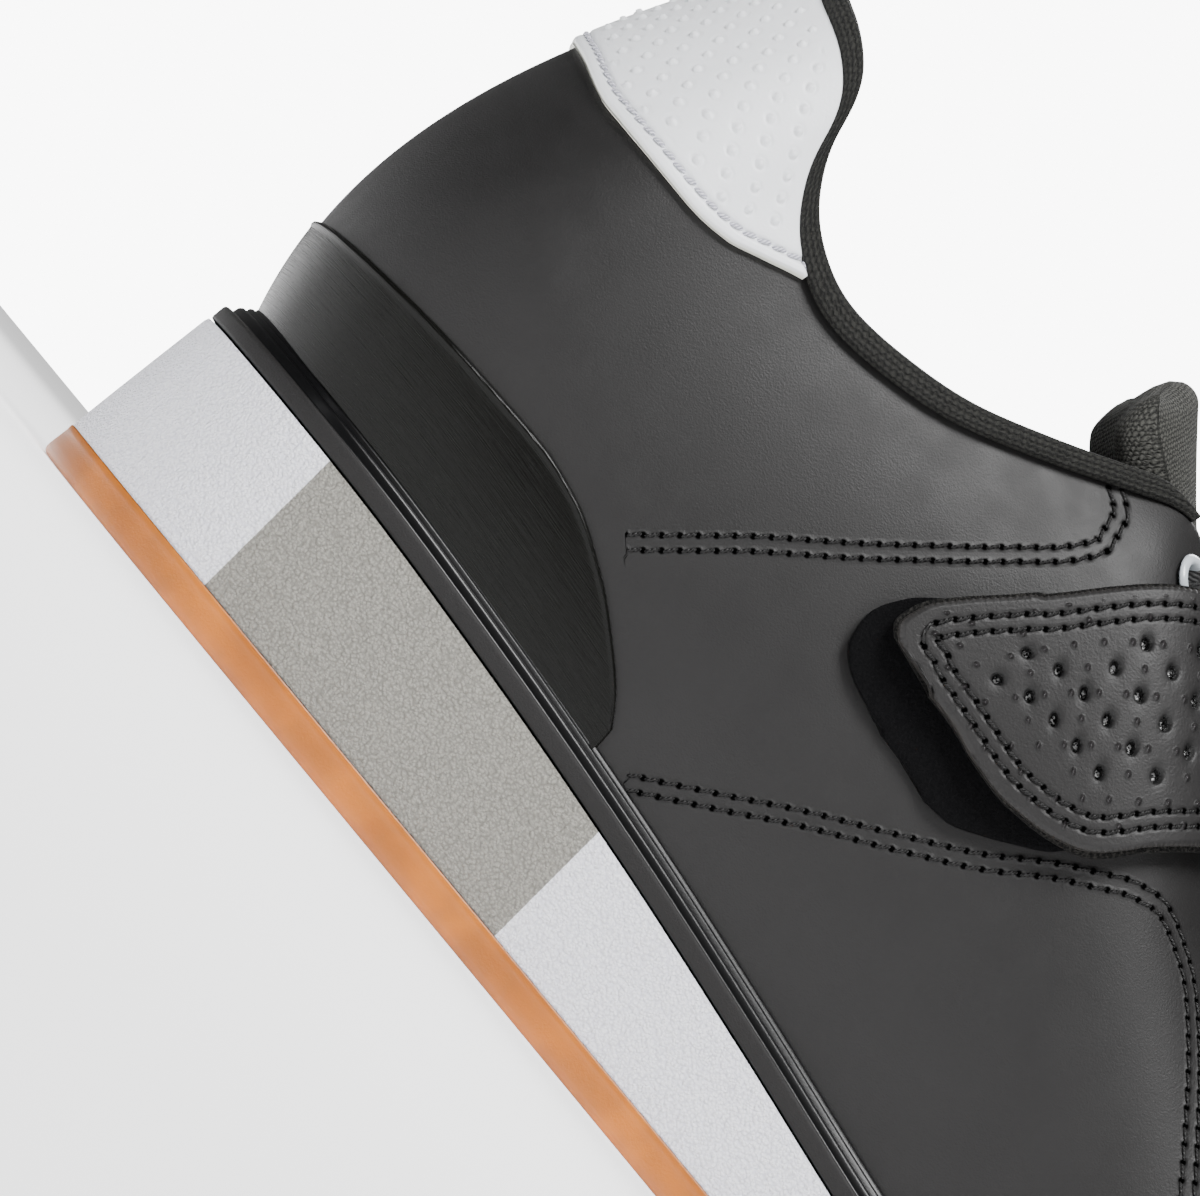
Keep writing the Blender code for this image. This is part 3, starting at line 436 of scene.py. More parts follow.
def instepAt(x, a, offset):
    # Point over the instep at distance x along it and arc length a from its crest.
    x, a = np.broadcast_arrays(np.asarray(x, float), np.asarray(a, float))
    e = 1.5 * mm
    n = np.cross(instepPoint(x + e, a) - instepPoint(x - e, a), instepPoint(x, a + e) - instepPoint(x, a - e))
    n = n / np.linalg.norm(n, axis=-1, keepdims=True)
    return instepPoint(x, a) + np.asarray(offset)[..., None] * n


def girth(x, side):
    return np.interp(x, sectionPlaces, girths[:, 0 if side < 0 else 1])


# Meshes from arrays
def gridQuads(rows, cols, wrapRows=False, wrapCols=False):
    i, j = np.meshgrid(np.arange(rows if wrapRows else rows - 1), np.arange(cols if wrapCols else cols - 1), indexing="ij")
    i1, j1 = (i + 1) % rows, (j + 1) % cols
    return np.stack([i * cols + j, i * cols + j1, i1 * cols + j1, i1 * cols + j], -1).reshape(-1, 4)


def makePiece(name, verts, quads, material, slot=None, nodes=(), uv=None, values=None, extra=()):
    verts = np.asarray(verts, float).reshape(-1, 3) - np.array([originAlong, 0, 0])
    quads = np.asarray(quads)
    mesh = bpy.data.meshes.new(name)
    mesh.from_pydata(verts.tolist(), [], quads.tolist() + [list(f) for f in extra])
    mesh.polygons.foreach_set("use_smooth", np.ones(len(mesh.polygons), bool))
    if uv is not None:
        layer = mesh.uv_layers.new(name="flatMm")
        loops = np.empty(len(mesh.loops), int)
        mesh.loops.foreach_get("vertex_index", loops)
        layer.data.foreach_set("uv", np.asarray(uv, float).reshape(-1, 2)[loops].astype(np.float32).ravel())
    for key, value in (values or {}).items():
        attribute = mesh.attributes.new(key, "FLOAT", "POINT")
        attribute.data.foreach_set("value", np.asarray(value, np.float32).ravel())
    mesh.validate()
    piece = bpy.data.objects.new(name, mesh)
    bpy.context.scene.collection.objects.link(piece)
    mesh.materials.append(material)
    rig.ride(piece, "root")
    if nodes:
        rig.replaces(piece, *nodes)
    if slot:
        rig.slot(piece, slot)
    return piece


def runLength(p, axis):
    # Distance travelled along one direction of a grid of points.
    steps = np.linalg.norm(np.diff(p, axis=axis), axis=-1)
    zero = np.zeros_like(np.take(steps, [0], axis=axis))
    return np.concatenate([zero, np.cumsum(steps, axis=axis)], axis=axis)


def evenStations(count, low=-1.0, high=1.0, closed=True):
    # Stations spread evenly by length round the sole outline, the same on both sides.
    v = np.linspace(0, 1, 2001)
    gaps = [np.linalg.norm(np.diff(plan(side * v)[0], axis=0), axis=1) for side in (-1, 1)]
    run = np.r_[0, np.cumsum(np.mean(gaps, axis=0))]
    ends = [np.sign(end) * np.interp(abs(end), v, run) for end in (low, high)]
    at = np.linspace(ends[0], ends[1], count + 1)[:-1] if closed else np.linspace(ends[0], ends[1], count)
    return np.sign(at) * np.interp(np.abs(at), run, v)


def sectionPath(points, count, sharp=()):
    # Evenly spaced points round a closed section given by its corner points, corners softened.
    points = np.asarray(points, float)
    loop = np.concatenate([points, points[:1]])
    run = np.r_[0, np.cumsum(np.linalg.norm(np.diff(loop[:, :2], axis=0), axis=1))]
    at = np.linspace(0, run[-1], count + 1)[:-1]
    path = np.stack([np.interp(at, run, loop[:, i]) for i in range(loop.shape[1])], -1)
    for _ in range(3):
        path = (np.roll(path, 1, 0) + 2 * path + np.roll(path, -1, 0)) / 4
    return path


# Materials
def linearColour(hexCode):
    c = np.array([int(hexCode[i:i + 2], 16) for i in (1, 3, 5)]) / 255
    c = np.where(c <= 0.04045, c / 12.92, ((c + 0.055) / 1.055) ** 2.4)
    return (*c.tolist(), 1.0)


def addNode(tree, kind, settings=None, **links):
    # One node: settings are its properties, links are inputs by name or number (i0, i1, ...).
    made = tree.nodes.new(kind)
    for key, value in (settings or {}).items():
        setattr(made, key, value)
    for key, value in links.items():
        socket = made.inputs[int(key[1:])] if key[0] == "i" and key[1:].isdigit() else made.inputs[key.replace("_", " ")]
        if isinstance(value, bpy.types.NodeSocket):
            tree.links.new(value, socket)
        else:
            socket.default_value = value
    return made


def mathNode(tree, operation, a, b=0.0, c=0.0):
    return addNode(tree, "ShaderNodeMath", {"operation": operation}, i0=a, i1=b, i2=c).outputs[0]


def startMaterial(name, roughness, ior=1.5, **inputs):
    made = bpy.data.materials.new(name)
    made.use_nodes = True
    tree = made.node_tree
    shader = tree.nodes["Principled BSDF"]
    shader.inputs["Roughness"].default_value = roughness
    shader.inputs["IOR"].default_value = ior
    for key, value in inputs.items():
        shader.inputs[key.replace("_", " ")].default_value = value
    return made, tree, shader


def mixColours(tree, share, first, second):
    made = addNode(tree, "ShaderNodeMix", {"data_type": "RGBA"}, i0=share, i6=first, i7=second)
    return made.outputs[2]


def objectPoint(tree):
    return addNode(tree, "ShaderNodeTexCoord").outputs["Object"]


def noiseNode(tree, where, cell, detail=2.0, stretch=None):
    # Noise whose blobs are about one cell (in mm) wide.
    if stretch:
        where = addNode(tree, "ShaderNodeVectorMath", {"operation": "MULTIPLY"}, i0=where, i1=stretch).outputs[0]
    return addNode(tree, "ShaderNodeTexNoise", None, Vector=where, Scale=1000 / cell, Detail=detail).outputs["Fac"]


def cellNode(tree, where, cell, feature="F1", smooth=None):
    kind = "SMOOTH_F1" if smooth else feature
    made = addNode(tree, "ShaderNodeTexVoronoi", {"feature": kind}, Vector=where, Scale=1000 / cell)
    if smooth:
        made.inputs["Smoothness"].default_value = smooth
    return made.outputs["Distance"]


def rangeNode(tree, value, a, b, c, d, kind="SMOOTHSTEP"):
    made = addNode(tree, "ShaderNodeMapRange", {"interpolation_type": kind}, i0=value, i1=a, i2=b, i3=c, i4=d)
    return made.outputs[0]


def bumpNode(tree, height, depth, before=None):
    made = addNode(tree, "ShaderNodeBump", None, Height=height, Strength=1.0, Distance=depth * mm)
    if before is not None:
        tree.links.new(before, made.inputs["Normal"])
    return made.outputs[0]


def valueOf(tree, name):
    return addNode(tree, "ShaderNodeAttribute", {"attribute_name": name}).outputs["Fac"]


def flatPoint(tree):
    return addNode(tree, "ShaderNodeUVMap", {"uv_map": "flatMm"}).outputs[0]


def gumMaterial():
    made, tree, shader = startMaterial("gumRubber", 0.42, 1.52, Subsurface_Weight=0.2, Subsurface_Scale=0.003)
    where = objectPoint(tree)
    blot = rangeNode(tree, noiseNode(tree, where, 14.0, 2.0), 0.38, 0.66, 0.0, 1.0)
    low = rangeNode(tree, noiseNode(tree, where, 5.0, 3.0), 0.35, 0.7, 0.0, 1.0)
    colour = mixColours(tree, blot, linearColour("#b96a1a"), linearColour("#a15a16"))
    colour = mixColours(tree, mathNode(tree, "MULTIPLY", low, 0.4), colour, linearColour("#8f541b"))
    tree.links.new(colour, shader.inputs["Base Color"])
    shader.inputs["Subsurface Radius"].default_value = (1.0, 0.55, 0.25)
    tread = valueOf(tree, "treadZone")
    grain = noiseNode(tree, where, 0.35, 3.0)
    bump = bumpNode(tree, mathNode(tree, "MULTIPLY", grain, mathNode(tree, "ADD", tread, 0.25)), 0.12)
    tree.links.new(bump, shader.inputs["Normal"])
    tree.links.new(rangeNode(tree, tread, 0.0, 1.0, 0.36, 0.62), shader.inputs["Roughness"])
    return made


def midsoleMaterial():
    made, tree, shader = startMaterial("midsoleFoam", 0.6, 1.48)
    where = objectPoint(tree)
    parts = addNode(tree, "ShaderNodeSeparateXYZ", None, i0=where)
    x, z = parts.outputs[0], parts.outputs[2]
    lean = mathNode(tree, "MULTIPLY", z, midsole["lean"])
    along = mathNode(tree, "ADD", x, lean)
    wave = mathNode(tree, "MULTIPLY", mathNode(tree, "SUBTRACT", noiseNode(tree, where, 0.8, 1.0), 0.5), 0.00012)
    along = mathNode(tree, "ADD", along, wave)
    rear = rangeNode(tree, along, midsole["rear"], midsole["rear"] + 0.00015, 0, 1)
    front = rangeNode(tree, along, midsole["front"], midsole["front"] + 0.00015, 1, 0)
    block = mathNode(tree, "MULTIPLY", rear, front)
    warped = addNode(tree, "ShaderNodeVectorMath", {"operation": "ADD"}, i0=where, i1=addNode(
        tree, "ShaderNodeVectorMath", {"operation": "SCALE"}, i0=addNode(tree, "ShaderNodeTexNoise", None, Vector=where, Scale=1100.0).outputs["Color"],
        Scale=0.00045).outputs[0]).outputs[0]
    pebble = cellNode(tree, warped, 0.44, feature="F1")
    fine = noiseNode(tree, where, 0.45, 3.0)
    # Painted shade: the hollows between the pebbles are coloured darker, on the white and on the grey.
    pit = rangeNode(tree, pebble, 0.38, 0.72, 0, 1)
    white = mixColours(tree, pit, linearColour("#e9e9ef"), linearColour("#dadae3"))
    grey = mixColours(tree, rangeNode(tree, fine, 0.4, 0.6, 0, 1), linearColour("#817f78"), linearColour("#8c8a82"))
    grey = mixColours(tree, pit, grey, linearColour("#74726b"))
    tree.links.new(mixColours(tree, block, white, grey), shader.inputs["Base Color"])
    height = mathNode(tree, "ADD", mathNode(tree, "MULTIPLY", pebble, -1.0), mathNode(tree, "MULTIPLY", fine, 0.35))
    tree.links.new(bumpNode(tree, height, 0.36), shader.inputs["Normal"])
    return made


def randMaterial():
    made, tree, shader = startMaterial("randRubber", 0.4, 1.52, Specular_IOR_Level=0.25)
    where = objectPoint(tree)
    matt = valueOf(tree, "mattBand")
    grain = noiseNode(tree, where, 0.3, 3.0)
    colour = mixColours(tree, matt, linearColour("#060607"), linearColour("#181717"))
    tree.links.new(colour, shader.inputs["Base Color"])
    tree.links.new(rangeNode(tree, matt, 0, 1, 0.28, 0.62), shader.inputs["Roughness"])
    height = mathNode(tree, "MULTIPLY", grain, mathNode(tree, "ADD", mathNode(tree, "MULTIPLY", matt, 0.9), 0.1))
    tree.links.new(bumpNode(tree, height, 0.09), shader.inputs["Normal"])
    return made


def leatherGrain(tree, where, size=0.42):
    # Fine coated leather: small noise with a hint of cells.
    cells = cellNode(tree, where, size * 1.5, smooth=0.8)
    fine = noiseNode(tree, where, size, 4.0)
    return mathNode(tree, "ADD", mathNode(tree, "MULTIPLY", cells, -0.25), fine)


def seamRelief(tree):
    # Trough under both rows of a double seam, and a mask of its needle holes for painted shade in them.
    side, run = valueOf(tree, "seamSide"), valueOf(tree, "seamRun")
    along = mathNode(tree, "PINGPONG", run, stitching["pitch"] / 2)
    height, holes = None, None
    for row in (-1, 1):
        off = mathNode(tree, "ABSOLUTE", mathNode(tree, "SUBTRACT", side, row * stitching["rowGap"] / 2))
        trough = rangeNode(tree, off, 0.0, 0.8 * mm, -1.0, 0.0)
        part = mathNode(tree, "MULTIPLY", trough, rangeNode(tree, along, 0.0, 1.1 * mm, 1.0, 0.25))
        apart = mathNode(tree, "SQRT", mathNode(tree, "ADD", mathNode(tree, "MULTIPLY", off, off), mathNode(tree, "MULTIPLY", along, along)))
        hole = rangeNode(tree, apart, 0.28 * mm, 0.66 * mm, 1, 0)
        height = part if height is None else mathNode(tree, "ADD", height, part)
        holes = hole if holes is None else mathNode(tree, "MAXIMUM", holes, hole)
    near = valueOf(tree, "seamNear")
    return mathNode(tree, "MULTIPLY", height, near), mathNode(tree, "MULTIPLY", holes, near)


def upperMaterial():
    made, tree, shader = startMaterial("blackSyntheticLeather", 0.5, 1.5, Specular_IOR_Level=0.36)
    where = objectPoint(tree)
    grain = leatherGrain(tree, where, 0.26)
    wide = noiseNode(tree, where, 22.0, 2.0)
    seam, holes = seamRelief(tree)
    colour = mixColours(tree, wide, linearColour("#100f0f"), linearColour("#151414"))
    # Painted shade: the needle holes are coloured near black.
    tree.links.new(mixColours(tree, holes, colour, linearColour("#020202")), shader.inputs["Base Color"])
    tree.links.new(rangeNode(tree, noiseNode(tree, where, 6.0, 3.0), 0.3, 0.7, 0.50, 0.57), shader.inputs["Roughness"])
    tree.links.new(rangeNode(tree, holes, 0, 1, 0.36, 0.0), shader.inputs["Specular IOR Level"])
    first = bumpNode(tree, seam, 0.22)
    tree.links.new(bumpNode(tree, grain, 0.05, first), shader.inputs["Normal"])
    return made


def filmMaterial():
    made, tree, shader = startMaterial("glossyFilm", 0.24, 1.5, Specular_IOR_Level=0.15)
    flat = flatPoint(tree)
    lines = noiseNode(tree, flat, 1000.0, 3.0, (0.12, 7.0, 1.0))
    wide = noiseNode(tree, flat, 1000.0, 2.0, (0.03, 1.3, 1.0))
    colour = mixColours(tree, lines, linearColour("#050504"), linearColour("#0d0d0b"))
    tree.links.new(colour, shader.inputs["Base Color"])
    height = mathNode(tree, "ADD", lines, mathNode(tree, "MULTIPLY", wide, 0.5))
    tree.links.new(bumpNode(tree, height, 0.035), shader.inputs["Normal"])
    tree.links.new(rangeNode(tree, lines, 0.3, 0.7, 0.20, 0.30), shader.inputs["Roughness"])
    return made


def whiteLeatherMaterial():
    made, tree, shader = startMaterial("whiteSyntheticLeather", 0.42, 1.5)
    where = objectPoint(tree)
    colour = mixColours(tree, noiseNode(tree, where, 9.0, 2.0), linearColour("#e0e2e5"), linearColour("#e9ebee"))
    colour = mixColours(tree, valueOf(tree, "cutEdge"), colour, linearColour("#dcdcd2"))
    tree.links.new(colour, shader.inputs["Base Color"])
    grain = leatherGrain(tree, where, 0.45)
    tree.links.new(bumpNode(tree, grain, 0.035), shader.inputs["Normal"])
    return made


def knitMaterial(name, dark, light, cell, depth, roughness=0.85):
    # Spacer knit: rows of small loops in a brick pattern, rounded and a little fuzzy.
    made, tree, shader = startMaterial(name, roughness, 1.5, Specular_IOR_Level=0.3)
    flat = flatPoint(tree)
    parts = addNode(tree, "ShaderNodeSeparateXYZ", None, i0=flat)
    jitter = mathNode(tree, "MULTIPLY", mathNode(tree, "SUBTRACT", noiseNode(tree, flat, 1000.0, 2.0, (1.4, 1.4, 1.0)), 0.5), 0.9)
    u = mathNode(tree, "DIVIDE", mathNode(tree, "ADD", parts.outputs[0], jitter), cell)
    v = mathNode(tree, "DIVIDE", mathNode(tree, "ADD", parts.outputs[1], jitter), cell * 0.8)
    odd = mathNode(tree, "MULTIPLY", mathNode(tree, "FLOORED_MODULO", mathNode(tree, "FLOOR", v), 2.0), 0.5)
    a = mathNode(tree, "COSINE", mathNode(tree, "MULTIPLY", mathNode(tree, "ADD", u, odd), 2 * np.pi))
    b = mathNode(tree, "COSINE", mathNode(tree, "MULTIPLY", v, 2 * np.pi))
    loop = mathNode(tree, "SUBTRACT", 0.0, mathNode(tree, "MULTIPLY", mathNode(tree, "ADD", a, b), 0.5))
    fuzz = noiseNode(tree, flat, 1000.0, 3.0, (6.0, 6.0, 1.0))
    height = mathNode(tree, "ADD", loop, mathNode(tree, "MULTIPLY", fuzz, 0.9))
    # Painted shade: colour follows the loop height, darker in the hollows and lighter on the loop tops.
    shade = rangeNode(tree, height, -0.6, 1.3, 0, 1)
    tree.links.new(mixColours(tree, shade, linearColour(dark), linearColour(light)), shader.inputs["Base Color"])
    tree.links.new(bumpNode(tree, height, depth), shader.inputs["Normal"])
    return made


def strapMaterial():
    # Holes and studs from the strap's own flat coordinates, in mm.
    made, tree, shader = startMaterial("strapSyntheticLeather", 0.5, 1.5, Specular_IOR_Level=0.3)
    where = objectPoint(tree)
    grain = leatherGrain(tree, where, 0.34)
    parts = addNode(tree, "ShaderNodeSeparateXYZ", None, i0=flatPoint(tree))
    stepU, stepV = strap["holeX"] / mm, strap["holeY"] / mm / 2

    def reachOf(value, shift, step):
        return mathNode(tree, "PINGPONG", mathNode(tree, "SUBTRACT", value, shift), step)

    def apart(a, b):
        return mathNode(tree, "SQRT", mathNode(tree, "ADD", mathNode(tree, "MULTIPLY", a, a), mathNode(tree, "MULTIPLY", b, b)))

    oddU, evenU = reachOf(parts.outputs[0], stepU, stepU), reachOf(parts.outputs[0], 0.0, stepU)
    halfV, wholeV = reachOf(parts.outputs[1], stepV, stepV), reachOf(parts.outputs[1], 0.0, stepV)
    holeGap = mathNode(tree, "MINIMUM", apart(oddU, halfV), apart(evenU, wholeV))
    beside = mathNode(tree, "SUBTRACT", oddU, strap["studSide"] / mm)
    studGap = mathNode(tree, "MINIMUM", apart(beside, halfV), apart(oddU, wholeV))
    field = valueOf(tree, "field")
    hole = mathNode(tree, "MULTIPLY", rangeNode(tree, holeGap, 0.60, 0.78, 1, 0), field)
    soft = mathNode(tree, "MULTIPLY", rangeNode(tree, holeGap, 0.5, 1.8, 1, 0), field)
    stud = mathNode(tree, "MULTIPLY", rangeNode(tree, studGap, 0.0, 0.5, 1, 0), valueOf(tree, "studded"))
    ring = mathNode(tree, "MULTIPLY", rangeNode(tree, studGap, 0.4, 0.55, 0, 1), rangeNode(tree, studGap, 0.55, 0.75, 1, 0))
    wide = noiseNode(tree, where, 9.0, 2.0)
    seam, needle = seamRelief(tree)
    colour = mixColours(tree, wide, linearColour("#171616"), linearColour("#1e1d1d"))
    # Painted shade round each hole, out to 1.8 mm from its centre.
    colour = mixColours(tree, mathNode(tree, "MULTIPLY", soft, 0.8), colour, linearColour("#080808"))
    # Painted shade round the foot of each stud.
    colour = mixColours(tree, mathNode(tree, "MULTIPLY", ring, 0.5), colour, linearColour("#060606"))
    # Painted shade in the needle holes of the strap's seam.
    colour = mixColours(tree, needle, colour, linearColour("#020202"))
    # Painted highlight: the raised studs are coloured lighter.
    colour = mixColours(tree, stud, colour, linearColour("#2c2a2b"))
    # Painted shade: the hole bottoms are coloured near black.
    colour = mixColours(tree, hole, colour, linearColour("#030303"))
    # The cut edge is lighter: its own tone, and a painted highlight along the strap's edges.
    colour = mixColours(tree, valueOf(tree, "cutEdge"), colour, linearColour("#2a2826"))
    # Painted glint: pale flecks in the middle of each hole.
    spark = mathNode(tree, "MULTIPLY", rangeNode(tree, noiseNode(tree, where, 0.3, 2.0), 0.46, 0.56, 0, 1), rangeNode(tree, holeGap, 0.3, 0.5, 1, 0))
    colour = mixColours(tree, mathNode(tree, "MULTIPLY", spark, field), colour, linearColour("#c4c4c4"))
    tree.links.new(colour, shader.inputs["Base Color"])
    foil = mathNode(tree, "MULTIPLY", hole, noiseNode(tree, where, 0.28, 2.0))
    shine = mathNode(tree, "MAXIMUM", hole, mathNode(tree, "MULTIPLY", stud, 0.8))
    tree.links.new(rangeNode(tree, shine, 0, 1, 0.5, 0.12), shader.inputs["Roughness"])
    tree.links.new(rangeNode(tree, needle, 0, 1, 0.3, 0.0), shader.inputs["Specular IOR Level"])
    first = bumpNode(tree, seam, 0.22)
    second = bumpNode(tree, stud, 0.40, first)
    third = bumpNode(tree, foil, 0.5, second)
    plain = mathNode(tree, "MULTIPLY", grain, mathNode(tree, "SUBTRACT", 1.0, shine))
    tree.links.new(bumpNode(tree, plain, 0.055, third), shader.inputs["Normal"])
    return made


def fuzzMaterial(name, dark, light):
    made, tree, shader = startMaterial(name, 1.0, 1.45, Specular_IOR_Level=0.15)
    where = objectPoint(tree)
    fibre = noiseNode(tree, where, 0.35, 5.0)
    clump = noiseNode(tree, where, 1.6, 2.0)
    tree.links.new(mixColours(tree, rangeNode(tree, fibre, 0.4, 0.7, 0, 1), linearColour(dark), linearColour(light)), shader.inputs["Base Color"])
    height = mathNode(tree, "ADD", fibre, mathNode(tree, "MULTIPLY", clump, 0.7))
    tree.links.new(bumpNode(tree, height, 0.3), shader.inputs["Normal"])
    return made


def threadMaterial(name, dark, light):
    # Twisted thread: slanting plies along its own length.
    made, tree, shader = startMaterial(name, 0.5, 1.5, Specular_IOR_Level=0.3)
    flat = flatPoint(tree)
    parts = addNode(tree, "ShaderNodeSeparateXYZ", None, i0=flat)
    turn = mathNode(tree, "ADD", mathNode(tree, "MULTIPLY", parts.outputs[0], 2 * np.pi / 0.62), mathNode(tree, "MULTIPLY", parts.outputs[1], 2.0))
    ply = mathNode(tree, "SINE", turn)
    # Painted shade: colour follows the twist, darker between the plies and lighter on their crests.
    tree.links.new(mixColours(tree, rangeNode(tree, ply, -1, 1, 0, 1), linearColour(dark), linearColour(light)), shader.inputs["Base Color"])
    tree.links.new(bumpNode(tree, ply, 0.05), shader.inputs["Normal"])
    return made


def laceMaterial():
    made, tree, shader = startMaterial("laceWeave", 0.8, 1.5, Sheen_Weight=0.3)
    flat = flatPoint(tree)
    parts = addNode(tree, "ShaderNodeSeparateXYZ", None, i0=flat)
    slant = mathNode(tree, "ABSOLUTE", parts.outputs[1])
    rib = mathNode(tree, "SINE", mathNode(tree, "MULTIPLY", mathNode(tree, "ADD", parts.outputs[0], slant), 2 * np.pi / 1.1))
    warp = mathNode(tree, "SINE", mathNode(tree, "MULTIPLY", parts.outputs[1], 2 * np.pi / 0.8))
    height = mathNode(tree, "ADD", mathNode(tree, "MULTIPLY", rib, 0.7), mathNode(tree, "MULTIPLY", warp, 0.4))
    height = mathNode(tree, "ADD", height, noiseNode(tree, flat, 1000.0, 3.0, (4, 4, 1)))
    # Painted shade: colour follows the weave's height, darker in its hollows.
    tree.links.new(mixColours(tree, rangeNode(tree, height, -0.8, 1.6, 0, 1), linearColour("#0a0a0a"), linearColour("#262626")), shader.inputs["Base Color"])
    tree.links.new(bumpNode(tree, height, 0.12), shader.inputs["Normal"])
    return made


def ringMaterial():
    made, tree, shader = startMaterial("paintedEyelet", 0.22, 1.5, Coat_Weight=0.3)
    where = objectPoint(tree)
    tree.links.new(mixColours(tree, noiseNode(tree, where, 3.0, 2.0), linearColour("#a9b0b5"), linearColour("#bcc2c6")), shader.inputs["Base Color"])
    tree.links.new(bumpNode(tree, noiseNode(tree, where, 1.2, 2.0), 0.02), shader.inputs["Normal"])
    return made


# Double seams of the quarter, in mm: along the shoe, height above the floor
stitching = {
    "pitch": 2.36 * mm,
    "rowGap": 1.95 * mm,
    "thread": 0.25 * mm,
    "seams": [
        [(57, 50), (63, 57), (69, 64), (81, 77), (90, 87.5), (95.5, 94.5), (97.2, 98.5), (96.2, 102), (92.5, 104.8)],
        [(80.5, 30.5), (84, 33.2), (90, 38), (98.6, 45), (110, 53.4), (120, 61.5), (128, 68.5), (134, 72.6), (140, 73.2), (146, 71), (153, 66), (161, 58.5), (170, 49), (178, 39), (184, 30)],
    ],
}


def seamPath(points, side):
    xz = np.array(points) * mm
    w, t = onSide(xz[:, 0], xz[:, 1], side)
    line = polyline(np.stack([w, t], -1), 0.001)
    return line[:, 0], line[:, 1]


def seamFields(p, seams):
    # Signed distance from the nearest seam, distance along it, and a mask of where it is near.
    p = p.reshape(-1, 3)
    side = np.full(len(p), 20 * mm)
    run = np.zeros(len(p))
    for line, normal in seams:
        along = np.r_[0, np.cumsum(np.linalg.norm(np.diff(line, axis=0), axis=1))]
        tangent = np.gradient(line, axis=0)
        tangent /= np.linalg.norm(tangent, axis=1, keepdims=True)
        cross = np.cross(normal, tangent)
        low, high = line.min(0) - 6 * mm, line.max(0) + 6 * mm
        index = np.nonzero(((p > low) & (p < high)).all(1))[0]
        for part in np.array_split(index, max(len(index) // 20000, 1)):
            gap = ((p[part, None, :] - line[None, :, :])**2).sum(2)
            k = gap.argmin(1)
            d = p[part] - line[k]
            slide = (d * tangent[k]).sum(1)
            beyond = ((k == 0) & (slide < 0)) | ((k == len(line) - 1) & (slide > 0))
            flat = d - slide[:, None] * tangent[k] - (d * normal[k]).sum(1)[:, None] * normal[k]
            dist = np.sign((d * cross[k]).sum(1)) * np.linalg.norm(flat, axis=1)
            dist = np.where(beyond, 20 * mm, dist)
            closer = np.abs(dist) < np.abs(side[part])
            side[part] = np.where(closer, dist, side[part])
            run[part] = np.where(closer, along[k] + slide, run[part])
    return np.clip(side, -6 * mm, 6 * mm), run, (np.abs(side) < 3.2 * mm).astype(float)


def threadRow(line, normal, pitch, radius, shift=0.0, lift=0.12 * mm):
    # Stitches beside a line: bowed capsules with both ends sunk in their holes.
    run = np.r_[0, np.cumsum(np.linalg.norm(np.diff(line, axis=0), axis=1))]
    count = max(int(run[-1] / pitch), 1)
    start = (np.arange(count) + 0.5) * pitch
    rings, spokes = 9, 8
    s = np.linspace(-1, 1, rings)
    at = start[:, None] + s[None, :] * pitch * 0.47
    centre = np.stack([np.interp(at, run, line[:, i]) for i in range(3)], -1)
    up = np.stack([np.interp(at, run, normal[:, i]) for i in range(3)], -1)
    up /= np.linalg.norm(up, axis=-1, keepdims=True)
    tangent = np.gradient(centre, axis=1)
    tangent /= np.linalg.norm(tangent, axis=-1, keepdims=True)
    side = np.cross(up, tangent)
    slant = (shift + s * 0.7 * radius)[None, :, None] * side
    bow = (lift * (1 - s**2) - radius * 1.1 * s**6)[None, :, None] * up
    width = radius * (1 - 0.4 * np.abs(s)**3)[None, :, None, None]
    angle = np.arange(spokes) * 2 * np.pi / spokes
    circle = np.cos(angle)[None, None, :, None] * side[:, :, None, :] + 0.85 * np.sin(angle)[None, None, :, None] * up[:, :, None, :]
    verts = (centre + slant + bow)[:, :, None, :] + width * circle
    quads = gridQuads(rings, spokes, wrapCols=True)
    quads = (quads[None] + (np.arange(count) * rings * spokes)[:, None, None]).reshape(-1, 4)
    flat = np.stack(np.broadcast_arrays(at[:, :, None] * 1000, angle[None, None, :]), -1)
    return verts.reshape(-1, 3), quads, flat.reshape(-1, 2)


def joinRows(rows):
    verts, quads, flats, base = [], [], [], 0
    for v, q, f in rows:
        verts.append(v)
        quads.append(q + base)
        flats.append(f)
        base += len(v)
    return np.concatenate(verts), np.concatenate(quads), np.concatenate(flats)


# Camera, at the photo's angle to the shoe, stopping just above the floor
view = {"azimuth": -2.84, "elevation": -2.4, "roll": 50.45, "distance": 801 * mm, "lens": 188.7,
        "aim": (60.5, -37.0, 43.0)}
a, e, r = (np.radians(view[k]) for k in ("azimuth", "elevation", "roll"))
back = np.array([np.sin(a) * np.cos(e), -np.cos(a) * np.cos(e), np.sin(e)])
right = np.array([np.cos(a), np.sin(a), 0.0])
upright = np.cross(back, right)
cameraX = np.cos(r) * right + np.sin(r) * upright
cameraY = -np.sin(r) * right + np.cos(r) * upright
cameraData = bpy.data.cameras.new("camera")
cameraData.lens = view["lens"]
cameraData.sensor_width = 36
cameraData.clip_start = 0.01
camera = bpy.data.objects.new("camera", cameraData)
bpy.context.scene.collection.objects.link(camera)
place = np.array(view["aim"]) * mm - np.array([originAlong, 0, 0]) + view["distance"] * back
matrix = np.eye(4)
matrix[:3, 0], matrix[:3, 1], matrix[:3, 2], matrix[:3, 3] = cameraX, cameraY, back, place
camera.matrix_world = Matrix(matrix.tolist())
bpy.context.scene.camera = camera
print("camera at", (place * 1000).round(1))

